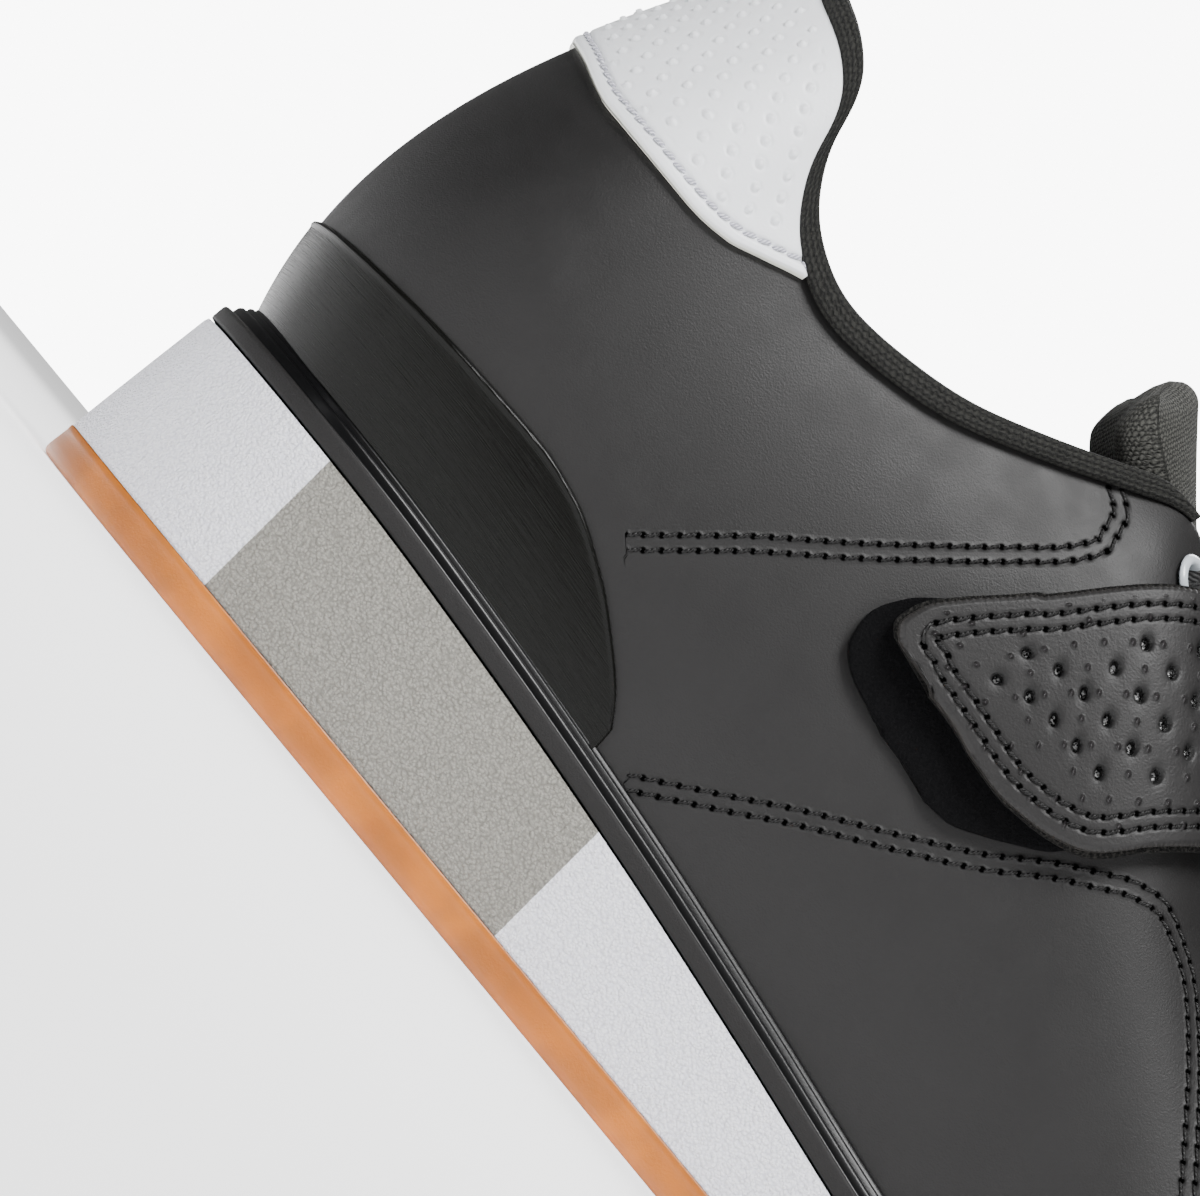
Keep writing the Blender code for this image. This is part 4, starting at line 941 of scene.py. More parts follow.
# Outsole: side wall and a treaded underside in gum rubber
gum = {"thickness": 5.2 * mm, "round": 0.9 * mm, "pitch": 4.5 * mm, "depth": 1.2 * mm, "groove": 1.5 * mm,
       "zigzag": 10 * mm, "swing": 2.4 * mm, "margin": 6.5 * mm, "heelZone": (0.05, 0.305), "ballZone": (0.53, 0.955)}
w = evenStations(720)
rows = []
for inset, up in ((1.45, 0.0), (0.75, 0.1), (0.3, 0.35), (0.06, 0.75), (0.0, 1.3), (0.0, 2.4), (0.05, 3.6), (0.08, 4.7), (0.0, 5.5), (0.15, 5.75)):
    p, n = plan(w, inset * gum["round"])
    rows.append(np.concatenate([p, (floorHeight(p[:, 0]) + up * gum["round"])[:, None]], -1))
wallGrid = np.array(rows)
share = np.linspace(-1, 1, 130)
s = evenStations(420, 0.0, 1.0, closed=False)
left, nl = plan(-s, 1.45 * gum["round"])
rightSide, nr = plan(s, 1.45 * gum["round"])
across = (share[None, :] + 1) / 2
soleXY = left[:, None, :] * (1 - across[..., None]) + rightSide[:, None, :] * across[..., None]
x, y = soleXY[..., 0], soleXY[..., 1]
edge = np.minimum(across, 1 - across) * (rightSide - left)[:, None, 1]
swing = (np.abs(((y / gum["zigzag"]) % 1) * 2 - 1) - 0.5) * gum["swing"]
phase = ((x + swing) / gum["pitch"]) % 1
groove = smoothStep((np.abs(phase - 0.5) * 2 - (1 - gum["groove"] / gum["pitch"])) / 0.12)
zone = np.zeros_like(x)
for low, high in (gum["heelZone"], gum["ballZone"]):
    inside = smoothStep((x - low * last["length"]) / (1 * mm)) * smoothStep((high * last["length"] - x) / (1 * mm))
    zone = np.maximum(zone, inside)
zone = zone * smoothStep((edge - gum["margin"]) / (1 * mm))
z = floorHeight(x) + gum["depth"] * groove * zone
bottom = np.concatenate([soleXY, z[..., None]], -1)
wallQuads = gridQuads(len(wallGrid), len(w), wrapCols=True)
bottomQuads = gridQuads(len(s), len(share)) + wallGrid.shape[0] * wallGrid.shape[1]
verts = np.concatenate([wallGrid.reshape(-1, 3), bottom.reshape(-1, 3)])
tread = np.r_[np.zeros(wallGrid.shape[0] * wallGrid.shape[1]), np.ones(bottom.shape[0] * bottom.shape[1])]
makePiece("gum_outsole", verts, np.concatenate([wallQuads, bottomQuads]), gumMaterial(), "gum_rubber", ["outsole"],
          values={"treadZone": tread})
print("outsole")

# Midsole wedge in one moulding, with its grey block
midsole = {"lean": 2.6 / 28, "rear": 0.0955 * 0.290 - originAlong, "front": 0.2945 * 0.290 - originAlong}
rows = []
for level, inset in ((0.0, 0.5), (0.0, 0.2), (0.02, 0.08), (0.3, 0.16), (0.6, 0.28), (0.85, 0.4), (0.97, 0.46), (1.0, 0.62), (1.0, 1.2)):
    p, n = plan(w, inset * mm)
    base = floorHeight(p[:, 0]) + gum["thickness"] + 0.05 * mm
    rows.append(np.concatenate([p, (base + (midsoleTop(p[:, 0]) - base) * level)[:, None]], -1))
grid = np.array(rows)
cap = []
half = len(w) // 2
for start in (0, (len(rows) - 1) * len(w)):
    i = np.arange(half)
    cap.append(np.stack([start + i, start + i + 1, start + (len(w) - 1 - i) % len(w), start + (len(w) - i) % len(w)], -1)[1:-1])
makePiece("midsole_wedge", grid, np.concatenate([gridQuads(len(rows), len(w), wrapCols=True)] + cap), midsoleMaterial(),
          "white_midsole", ["midsole_heel", "midsole_block", "midsole_front"])
print("midsole")

# Rand: matt band, a fine groove, then glossy ribs stepping in to the upper
randShape = [
    # share of the way out, height in mm, matt
    (0.00, 0.0, 1), (0.90, 0.0, 1), (0.985, 0.12, 1), (1.0, 0.5, 1), (1.0, 2.0, 1), (0.985, 2.4, 1), (0.93, 2.6, 1),
    (0.84, 2.65, 0.6), (0.81, 2.5, 0), (0.78, 2.5, 0), (0.76, 2.9, 0), (0.71, 3.7, 0), (0.62, 4.1, 0),
    (0.55, 4.15, 0), (0.52, 4.0, 0), (0.49, 4.15, 0), (0.44, 4.75, 0), (0.36, 5.0, 0), (0.31, 4.95, 0),
    (0.28, 4.85, 0), (0.25, 5.0, 0), (0.18, 5.5, 0), (0.08, 5.65, 0), (0.0, 5.6, 0), (0.0, 2.8, 0),
]
w = evenStations(720)
here = lastFrames(w)
base = here[0]
sideTop = midsoleTop(base[:, 0]) + 0.3 * mm
rows, matt = [], []
for share, height, dull in randShape:
    t = shareAtHeight(w, sideTop + max(height, 0.4) * mm)
    inner = lastSurface(w, t, 0.25 * mm)
    inner[:, 2] = sideTop + height * mm
    p, n = plan(w, 0.7 * mm)
    outer = np.concatenate([p, (midsoleTop(p[:, 0]) + 0.3 * mm + height * mm)[:, None]], -1)
    rows.append(inner + (outer - inner) * share)
    matt.append(np.full(len(w), dull))
makePiece("rand_band", np.array(rows), gridQuads(len(rows), len(w), wrapRows=True, wrapCols=True), randMaterial(),
          "rand_rubber", ["rand"], values={"mattBand": np.array(matt)})
print("rand")

# Eyelet places along the throat
eyelets = {"rows": 5, "pitch": 19.7 * mm, "first": 5.5 * mm, "setIn": 6.5 * mm, "hole": 2.25 * mm, "flange": 4.0 * mm}
eyeletFrames = {}
throat = np.linspace(0.5, last["throatEnd"], 300)
for side in (-1, 1):
    edge = profile(lastFrames(side * throat), np.ones(300))
    run = np.r_[0, np.cumsum(np.linalg.norm(np.diff(edge, axis=0), axis=1))]
    places = eyelets["first"] + np.arange(eyelets["rows"]) * eyelets["pitch"]
    we = side * np.interp(places, run, throat)
    te = shareAtDepth(we, np.full(len(we), eyelets["setIn"]))
    p, n = lastSurface(we, te, 0.0, normals=True)
    for k in range(len(we)):
        eyeletFrames[side, k] = (p[k], n[k], we[k], te[k])

# Upper: the outer face, wrapped over its collar and throat edge
upperSeams, seamLines = [], []
for side in (-1, 1):
    for points in stitching["seams"]:
        ws, ts = seamPath(points, side)
        line, normal = lastSurface(ws, ts, 0.0, normals=True)
        seamLines.append((line, normal))
upperShape = {"columns": 640, "rows": 112}
w = evenStations(upperShape["columns"])
t = np.linspace(0, 1, upperShape["rows"])
t = t - 0.05 * np.sin(2 * np.pi * t) / (2 * np.pi)
grid, normal = lastSurface(w, t[:, None] * np.ones(len(w)), 0.0, normals=True)
flex = {"creases": [(0.60, 0.9, 2.2), (0.635, 1.1, 2.6), (0.675, 0.8, 2.4)], "depth": 0.55 * mm}
x = grid[..., 0] / last["length"]
height = (grid[..., 2] - grid[0, :, 2]) / (grid[-1, :, 2] - grid[0, :, 2])
relief = np.zeros_like(x)
for centre, strength, width in flex["creases"]:
    bend = centre + 0.02 * np.cos(2.2 * height)
    relief -= flex["depth"] * strength * np.exp(-((x - bend) / (width * 0.0045))**2) * smoothStep((height - 0.35) / 0.4)
grid = grid + relief[..., None] * normal
closed = np.abs(w) >= last["throatEnd"]
partner = (-np.arange(len(w))) % len(w)
top = grid[-1].copy()
grid[-1] = np.where(closed[:, None], (top + top[partner]) / 2, top)
lip = []
for out, down in ((-0.25, -0.12), (-0.9, -0.2), (-1.6, -0.1), (-2.1, 0.3), (-2.2, 1.5), (-2.2, 6.0)):
    ty = shareAtDepth(w, np.full(len(w), max(down, 0) * mm))
    lip.append(lastSurface(w, ty, out * mm))
full = np.concatenate([grid, np.array(lip)])
quads = gridQuads(len(full), len(w), wrapCols=True)
row, col = quads[:, 0] // len(w), quads[:, 0] % len(w)
shut = closed[col] | closed[(col + 1) % len(w)]
keep = (row < upperShape["rows"] - 1) | ~shut
middle = full.reshape(-1, 3)[quads].mean(1)
for p, n, _, _ in eyeletFrames.values():
    keep &= np.linalg.norm(middle - p, axis=1) > 3.1 * mm
merge = np.arange(len(full) * len(w))
ridge = (upperShape["rows"] - 1) * len(w) + np.arange(len(w))
merge[ridge[closed]] = np.minimum(ridge, ridge[partner])[closed]
quads = merge[quads[keep]]
seamSide, seamRun, seamNear = seamFields(full, seamLines)
makePiece("upper_shell", full, quads, upperMaterial(), "black_leather", ["upper"],
          values={"seamSide": seamSide, "seamRun": seamRun, "seamNear": seamNear})
w2 = evenStations(200)
t2 = np.linspace(0, 1, 36)[:, None] * np.ones(len(w2))
inner = lastSurface(w2, t2, -(last["wall"] - 0.05 * mm))
quads = gridQuads(36, len(w2), wrapCols=True)
middle = inner.reshape(-1, 3)[quads].mean(1)
keep = np.ones(len(quads), bool)
for p, n, _, _ in eyeletFrames.values():
    keep &= np.linalg.norm(middle - p, axis=1) > 4.2 * mm
lining = knitMaterial("liningCloth", "#101010", "#242424", 1.1, 0.08)
makePiece("upper_lining", inner, quads[keep], lining, "footbed_cloth",
          uv=np.stack([runLength(inner, 1) * 1000, runLength(inner, 0) * 1000], -1))
print("upper")

# Threads of the double seams
blackThread = threadMaterial("blackThread", "#020202", "#151414")
threadRows = []
for line, normal in seamLines:
    for row in (-1, 1):
        threadRows.append(threadRow(line, normal, stitching["pitch"], stitching["thread"], row * stitching["rowGap"] / 2))
verts, quads, flat = joinRows(threadRows)
makePiece("quarter_stitching", verts, quads, blackThread, "black_leather", uv=flat)

# Counter panel: thin brushed film with a fine raised edge
counter = {"lift": 0.32 * mm, "thick": 0.45 * mm, "edge": np.array([
    (0.000, 1.69), (0.120, 1.73), (0.200, 1.77), (0.250, 1.78), (0.278, 1.74), (0.306, 1.60), (0.322, 1.46), (0.334, 1.32), (0.341, 1.19)])}
w = evenStations(500, -0.3405, 0.3405, closed=False)
foot, n = plan(w, feather(w))
low = midsoleTop(foot[:, 0]) + 5.2 * mm
high = np.maximum(last["heelStack"] * smoothCurve(counter["edge"][:, 0], counter["edge"][:, 1], np.abs(w)), low + 0.2 * mm)
tLow, tHigh = shareAtHeight(w, low), shareAtHeight(w, high)
v = np.linspace(0, 1, 50)
ts = tLow + (tHigh - tLow) * v[:, None]
p0 = lastSurface(w, ts, 0.0)
fromEdge = (runLength(p0, 0)[-1:] - runLength(p0, 0))
fromEnd = np.minimum(runLength(p0, 1), runLength(p0, 1)[:, -1:] - runLength(p0, 1))
edge = np.minimum(fromEdge, fromEnd)
bead = 0.22 * mm * np.exp(-((edge - 0.55 * mm) / (0.32 * mm))**2)
round_ = counter["thick"] * np.sqrt(np.clip(edge / (0.25 * mm), 0, 1))
grid = lastSurface(w, ts, counter["lift"] + round_ + bead)
skirt = lastSurface(w, tHigh, 0.0)[None]
full = np.concatenate([grid, skirt])
flat = np.stack([np.concatenate([runLength(grid, 1), runLength(skirt, 1)]) * 1000, runLength(full, 0) * 1000], -1)
makePiece("counter_film", full, gridQuads(len(full), len(w)), filmMaterial(), "gloss_film", ["counter_panel"], uv=flat)
print("counter")

# Heel patch: white leather with staggered raised dots and a thick pale cut edge
patch = {"lift": 0.35 * mm, "thick": 0.95 * mm, "edge": np.array([
    (0.000, 0.800), (0.060, 0.785), (0.120, 0.762), (0.200, 0.757), (0.250, 0.766), (0.280, 0.785), (0.306, 0.808)]),
    "dotAlong": (3.25 * mm, 1.75 * mm), "dotDown": (1.75 * mm, -2.45 * mm), "dotRadius": 0.64 * mm, "dotHeight": 0.44 * mm}
w = evenStations(400, -0.3055, 0.3055, closed=False)
low = last["instepHeight"] * smoothCurve(patch["edge"][:, 0], patch["edge"][:, 1], np.abs(w))
tLow, tHigh = shareAtHeight(w, low), shareAtDepth(w, np.full(len(w), 0.6 * mm))
v = np.linspace(0, 1, 130)
ts = tLow + (tHigh - tLow) * v[:, None]
p0 = lastSurface(w, ts, 0.0)
h = runLength(p0, 0)
depthFromTop = h[-1:] - h
ring = p0[len(v) // 2, :, :2]
run = runLength(ring, 0)
tangent = np.gradient(ring, axis=0)
tangent /= np.linalg.norm(tangent, axis=1, keepdims=True)
flat = p0[..., :2].reshape(-1, 2)
u = np.empty(len(flat))
for part in np.array_split(np.arange(len(flat)), 12):
    k = ((flat[part, None] - ring[None])**2).sum(2).argmin(1)
    u[part] = run[k] + ((flat[part] - ring[k]) * tangent[k]).sum(1)
u = u.reshape(h.shape) - run[len(w) // 2]
high = p0[..., 2] - 100 * mm
mirrored = np.abs(u)
b1, b2 = patch["dotAlong"], patch["dotDown"]
det = b1[0] * b2[1] - b1[1] * b2[0]
i = (mirrored * b2[1] - high * b2[0]) / det
j = (high * b1[0] - mirrored * b1[1]) / det
di, dj = i - np.round(i), j - np.round(j)
gap = np.hypot(di * b1[0] + dj * b2[0], di * b1[1] + dj * b2[1])
dots = patch["dotHeight"] * smoothStep((patch["dotRadius"] - gap) / (0.3 * mm))
dots = dots - 0.15 * mm * np.exp(-((gap - patch["dotRadius"]) / (0.25 * mm))**2)
dots *= smoothStep((h - 3.0 * mm) / (0.6 * mm)) * smoothStep((depthFromTop - 2.2 * mm) / (0.5 * mm)) * (mirrored > 0.7 * mm)
bend = np.sqrt(np.clip(h / (0.5 * mm), 0, 1)) * patch["thick"]
trough = -0.42 * mm * np.exp(-((h - 2.1 * mm) / (0.5 * mm))**2)
grid = lastSurface(w, ts, patch["lift"] + bend + dots + trough)
under = lastSurface(w, tLow, patch["lift"] * 0.3)[None]
side = lastSurface(w, tLow, patch["lift"] + patch["thick"] * 0.5)[None] + np.array([0, 0, -0.12 * mm])
full = np.concatenate([under, side, grid])
cutEdge = np.concatenate([np.ones((2, len(w))), smoothStep(1 - h / (0.45 * mm))])
makePiece("heel_patch_dotted", full, gridQuads(len(full), len(w)), whiteLeatherMaterial(), "white_leather", ["heel_patch"],
          values={"cutEdge": cutEdge})
k = np.array([np.argmin(np.abs(h[:, i] - 2.1 * mm)) for i in range(len(w))])
line, normal = lastSurface(w, ts[k, np.arange(len(w))], patch["lift"] + patch["thick"] * 0.8, normals=True)
whiteThread = threadMaterial("whiteThread", "#9a9aa6", "#d6d6de")
verts, quads, flat = threadRow(line, normal, 2.2 * mm, 0.28 * mm)
makePiece("patch_stitching", verts, quads, whiteThread, "white_leather", uv=flat)
print("patch")

# Collar: padded knit roll over the edge, with the lining pad inside
collarShape = [
    # depth in mm, share of pad depth, offset in mm, share of pad thickness
    (1.0, 0, 0.35, 0), (1.1, 0, 1.1, 0), (0.4, 0, 1.9, 0), (-1.0, 0, 2.2, 0), (-2.2, 0, 1.9, 0), (-3.1, 0, 0.9, 0),
    (-3.5, 0, -0.6, 0), (-3.5, 0, -2.2, 0.05), (-2.9, 0, -2.7, 0.35), (-1.4, 0, -2.8, 0.65), (0.0, 0.04, -2.8, 0.88),
    (0.0, 0.16, -2.8, 1.0), (0.0, 0.34, -2.8, 1.0), (0.0, 0.60, -2.8, 0.85), (0.0, 0.85, -2.8, 0.5), (0.0, 1.0, -2.7, 0.12),
    (0.0, 1.02, -2.45, 0.0), (0.0, 0.6, -2.45, 0.0), (0.0, 0.2, -2.45, 0.0), (-0.2, 0.0, -2.4, 0.0), (-0.3, 0.0, 0.3, 0.0),
]
collar = {"pad": 8.6 * mm, "depth": 27 * mm, "end": 0.4985, "padding": np.array([
    (0.00, 0.75, 1.00), (0.15, 1.00, 1.00), (0.30, 0.90, 0.85), (0.38, 0.55, 0.60), (0.44, 0.16, 0.26), (0.48, 0.08, 0.14), (0.50, 0.04, 0.1)])}
w = evenStations(480, -collar["end"], collar["end"], closed=False)
thin = smoothCurve(collar["padding"][:, 0], collar["padding"][:, 1], np.abs(w)) * collar["pad"]
deep = smoothCurve(collar["padding"][:, 0], collar["padding"][:, 2], np.abs(w)) * collar["depth"]
section = sectionPath(np.array(collarShape), 54)
slim = 1 - 0.6 * smoothStep((np.abs(w) - 0.47) / 0.028)
rows = [edgePoint(w, d * mm * slim + part * deep, o * mm * (slim if o > 0 else 1) - q * thin) for d, part, o, q in section]
grid = np.array(rows)
around_ = runLength(np.concatenate([grid, grid[:1]]), 0)[:-1]
flat = np.stack([np.broadcast_to(runLength(grid, 1)[:1], around_.shape) * 1000, around_ * 1000], -1)
binding = knitMaterial("collarKnit", "#060606", "#262623", 1.05, 0.25)
count = len(section)
ends = [[i * len(w) for i in range(count)], [i * len(w) + len(w) - 1 for i in range(count)]]
collarPiece = makePiece("collar_roll", grid, gridQuads(count, len(w), wrapRows=True), binding, "black_knit", ["collar"], uv=flat, extra=ends)
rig.padded(collarPiece, fill=0.7)
print("collar")

# Footbed inside
w = evenStations(240)
inset = feather(w) + last["wall"] + 0.8 * mm
rows = []
for level, extra in ((0.4, 0.0), (3.6, 0.0), (4.6, 0.5), (5.0, 1.6)):
    p, n = plan(w, inset + extra * mm)
    rows.append(np.concatenate([p, (midsoleTop(p[:, 0]) + level * mm)[:, None]], -1))
for k in np.linspace(0.94, 0.0, 16):
    centre = np.stack([rows[3][:, 0], np.full(len(w), 1.5 * mm), rows[3][:, 2] - 1.2 * mm], -1)
    ring = centre + (rows[3] - centre) * np.array([1, k, k**2])
    ring[:, 0] = 0.5 * last["length"] + (rows[3][:, 0] - 0.5 * last["length"]) * (0.995 + 0.005 * k)
    rows.append(ring)
grid = np.array(rows)
footbed = knitMaterial("footbedCloth", "#2a2a2a", "#484848", 1.2, 0.06)
footbedPiece = makePiece("footbed", grid, gridQuads(len(rows), len(w), wrapCols=True), footbed, "footbed_cloth", ["insole"],
                         uv=grid[..., :2] * 1000)
print("footbed")

# Tongue: padded mesh sheet with a bound edge
tongue = {"front": 0.680 * 0.290, "back": 0.368 * 0.290, "thick": 6.5 * mm, "rise": 19 * mm,
          "rows": np.array([(0.00, 15, 0.55), (0.15, 18, 0.75), (0.45, 21, 0.90), (0.75, 22, 1.00), (1.00, 18, 1.00)]),
          "top": [(0.00, 1.0), (0.30, 1.30), (0.62, 1.65), (0.82, 1.55), (1.00, 1.25)]}
across = np.sin(np.linspace(-np.pi / 2, np.pi / 2, 90))
share = np.linspace(0, 1, 70)
half = smoothCurve(tongue["rows"][:, 0], tongue["rows"][:, 1] * mm, share)
thick = smoothCurve(tongue["rows"][:, 0], tongue["rows"][:, 2], share) * tongue["thick"]
xs = np.repeat((tongue["front"] + (tongue["back"] - tongue["front"]) * share)[:, None], len(across), 1)
depth = last["wall"] + 0.6 * mm
soft = np.sqrt(np.maximum(1 - np.abs(across)**4, 0))
outer = instepAt(xs, half[:, None] * across, np.full(xs.shape, -depth))
inner = instepAt(xs, half[:, None] * across, -(depth + thick[:, None] * (0.03 + 0.97 * soft)))
down = outer[-1, 45] - inner[-1, 45]
down /= np.linalg.norm(down)
fine = np.linspace(0, 1, 50)[1:]
width = tongue["rows"][-1, 1] * mm * (1 - 0.06 * fine) * (1 - np.clip((fine - 0.7) / 0.3, 0, 1)**3 * 0.28)
top = np.array(tongue["top"])
bulk = smoothCurve(top[:, 0], top[:, 1], fine) * tongue["thick"]
moreOuter, moreInner = [], []
for k in range(len(fine)):
    base = instepAt(np.full(len(across), tongue["back"]), width[k] * across, np.full(len(across), -depth))
    wave = 0.8 * mm * np.cos(across * 5.0) * fine[k]**2
    lean = np.array([-0.76, 0.0, 0.65]) * tongue["rise"] * fine[k]
    sag = 5 * mm * across**2 * fine[k]
    face = base + lean + wave[:, None] * np.array([-0.3, 0.0, 0.95]) - down * sag[:, None]
    close = 1 - np.sqrt(max(1 - (max(fine[k] - 0.82, 0) / 0.18)**2, 0))
    body = bulk[k] * (0.03 + 0.97 * soft)
    moreOuter.append(face - down * (body * 0.5 * close)[:, None])
    moreInner.append(face - down * (body * (1 - 0.5 * close))[:, None])
outer, inner = np.concatenate([outer, moreOuter]), np.concatenate([inner, moreInner])
ring = np.concatenate([outer, inner[:, ::-1]], axis=1)
count = ring.shape[1]
flat = np.stack(np.broadcast_arrays(runLength(ring, 1)[60:61], runLength(ring, 0)[:, 45:46]), -1) * 1000
ends = [list(range(count)), [(len(ring) - 1) * count + i for i in range(count)]]
meshCloth = knitMaterial("tongueMesh", "#121211", "#454541", 0.8, 0.16)
tonguePiece = makePiece("tongue_pad", ring, gridQuads(len(ring), count, wrapCols=True), meshCloth, "tongue_mesh", ["tongue"], uv=flat, extra=ends)
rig.padded(tonguePiece, fill=0.6)
print("tongue")

# Strap: rows across it, by the share of the way from the instep's crest to the sole
strapRows = np.array([
    (-0.605, 97.0, 106.0), (-0.595, 89.0, 111.0), (-0.575, 87.2, 116.0), (-0.550, 87.6, 120.5), (-0.510, 90.3, 125.2),
    (-0.457, 95.0, 128.3), (-0.310, 105.8, 136.0), (-0.200, 112.0, 141.0), (0.000, 117.5, 146.5), (0.200, 110.5, 141.0),
    (0.457, 94.0, 128.3), (0.650, 86.0, 119.0), (0.900, 81.0, 112.0),
]) * np.array([1, mm, mm])
strapLift = np.array([(-0.61, 2.2), (-0.42, 2.3), (-0.25, 3.0), (0.25, 3.0), (0.42, 0.6), (0.92, 0.5)]) * np.array([1, mm])
padRows = np.array([
    (-0.672, 95.0, 107.0), (-0.657, 88.5, 111.0), (-0.630, 85.0, 114.5), (-0.590, 84.0, 118.7), (-0.550, 85.6, 122.3),
    (-0.500, 90.5, 124.8), (-0.450, 95.0, 127.0),
]) * np.array([1, mm, mm])
strap = {"thick": 2.6 * mm, "holeX": 4.4 * mm, "holeY": 5.0 * mm, "holeRadius": 0.80 * mm, "holeDepth": 1.1 * mm,
         "studSide": 2.25 * mm, "studRadius": 0.5 * mm, "studHeight": 0.14 * mm, "seamIn": 3.45 * mm}


def bandGrid(table, reach, side):
    rear, front = smoothCurve(table[:, 0], table[:, 1], reach), smoothCurve(table[:, 0], table[:, 2], reach)
    x = rear[:, None] + (front - rear)[:, None] * side
    a = reach[:, None] * np.where(reach[:, None] < 0, girth(x, -1), girth(x, 1))
    return x, a


reach = np.concatenate([np.linspace(-0.605, -0.55, 40)[:-1], np.linspace(-0.55, -0.05, 230)[:-1], np.linspace(-0.05, 0.9, 270)])
side = np.linspace(0, 1, 176)
x, a = bandGrid(strapRows, reach, side)
lift = smoothCurve(strapLift[:, 0], strapLift[:, 1], reach)[:, None] * np.ones(x.shape)
flatGrid = instepAt(x, a, lift + strap["thick"])
crest = np.argmin(np.abs(reach))
middle = strapRows[5:]
line = np.stack([(middle[:, 1] + middle[:, 2]) / 2, middle[:, 0] * np.where(middle[:, 0] < 0, girth(middle[:, 1], -1), girth(middle[:, 1], 1))], -1)
line = np.concatenate([line[:1] + 3 * (line[:1] - line[1:2]), line, line[-1:] + 2 * (line[-1:] - line[-2:-1])])
line = polyline(line, 0.8 * mm)
run = np.r_[0, np.cumsum(np.linalg.norm(np.diff(line, axis=0), axis=1))]
tangent = np.gradient(line, axis=0)
tangent /= np.linalg.norm(tangent, axis=1, keepdims=True)
flatXA = np.stack([x, a], -1).reshape(-1, 2)
u, v = np.empty(len(flatXA)), np.empty(len(flatXA))
for part in np.array_split(np.arange(len(flatXA)), 12):
    k = ((flatXA[part, None] - line[None])**2).sum(2).argmin(1)
    d = flatXA[part] - line[k]
    u[part] = run[k] + (d * tangent[k]).sum(1)
    v[part] = d[:, 0] * tangent[k, 1] - d[:, 1] * tangent[k, 0]
u, v = u.reshape(x.shape), v.reshape(x.shape)
outline = np.concatenate([flatGrid[:, 0], flatGrid[-1, 1:], flatGrid[-2::-1, -1], flatGrid[0, -2:0:-1]])
edgeGap = np.empty(x.size)
points = flatGrid.reshape(-1, 3)
thinLine = outline[::3]
for part in np.array_split(np.arange(len(points)), 40):
    edgeGap[part] = np.linalg.norm(points[part, None] - thinLine[None], axis=2).min(1)
edgeGap = edgeGap.reshape(x.shape)
odd = np.abs(u / strap["holeX"] - 2 * np.round((u / strap["holeX"] - 1) / 2) - 1) * strap["holeX"]
even = strap["holeX"] - odd
whole = np.abs(v / strap["holeY"] - np.round(v / strap["holeY"])) * strap["holeY"]
part = strap["holeY"] / 2 - whole
gap = np.minimum(np.hypot(odd, part), np.hypot(even, whole))
oddColumn, evenColumn = 2 * np.round((u / strap["holeX"] - 1) / 2) + 1, 2 * np.round(u / strap["holeX"] / 2)
isOdd = np.hypot(odd, part) < np.hypot(even, whole)
column = np.where(isOdd, oddColumn, evenColumn) * strap["holeX"]
place = np.where(isOdd, np.round(v / strap["holeY"] - 0.5) + 0.5, np.round(v / strap["holeY"])) * strap["holeY"]
centres, which = np.unique(np.round(np.stack([column, place], -1).reshape(-1, 2), 6), axis=0, return_inverse=True)
roomy = []
for cu, cv in centres:
    off = np.hypot(u - cu, v - cv)
    nearest = off.argmin()
    roomy.append(off.flat[nearest] < 0.5 * mm and edgeGap.flat[nearest] > 6.9 * mm)
field = np.array(roomy, float)[which.ravel()].reshape(u.shape)
dimple = -0.32 * mm * np.exp(-(gap / (1.0 * mm))**2) * field
hole = smoothStep((strap["holeRadius"] - gap) / (0.24 * mm)) * field
gap = np.minimum(np.hypot(odd - strap["studSide"], part), np.hypot(odd, whole))
studded = smoothStep((edgeGap - 1.3 * mm) / (0.2 * mm))
studs = smoothStep((strap["studRadius"] - gap) / (0.3 * mm)) * studded
rim = -0.8 * mm * (1 - np.sqrt(np.clip(edgeGap / (0.7 * mm), 0, 1)))
relief = dimple - strap["holeDepth"] * hole + strap["studHeight"] * studs + rim
outer = instepAt(x, a, lift + strap["thick"] + relief)
skirt = instepAt(x, a, lift + 1.0 * mm)
rimIndex = np.concatenate([
    np.arange(len(reach)) * len(side),
    (len(reach) - 1) * len(side) + np.arange(1, len(side)),
    np.arange(len(reach) - 2, -1, -1) * len(side) + len(side) - 1,
    np.arange(len(side) - 2, 0, -1),
])
m, size = len(rimIndex), outer.shape[0] * outer.shape[1]
rimQuads = np.stack([rimIndex, np.roll(rimIndex, -1), size + (np.arange(m) + 1) % m, size + np.arange(m)], -1)


def gridRead(grid, ij):
    # Values of a grid between its points.
    i, j = np.clip(ij[:, 0], 0, grid.shape[0] - 1.001), np.clip(ij[:, 1], 0, grid.shape[1] - 1.001)
    i0, j0 = i.astype(int), j.astype(int)
    fi, fj = (i - i0)[:, None], (j - j0)[:, None]
    return (grid[i0, j0] * (1 - fi) * (1 - fj) + grid[i0 + 1, j0] * fi * (1 - fj)
            + grid[i0, j0 + 1] * (1 - fi) * fj + grid[i0 + 1, j0 + 1] * fi * fj)


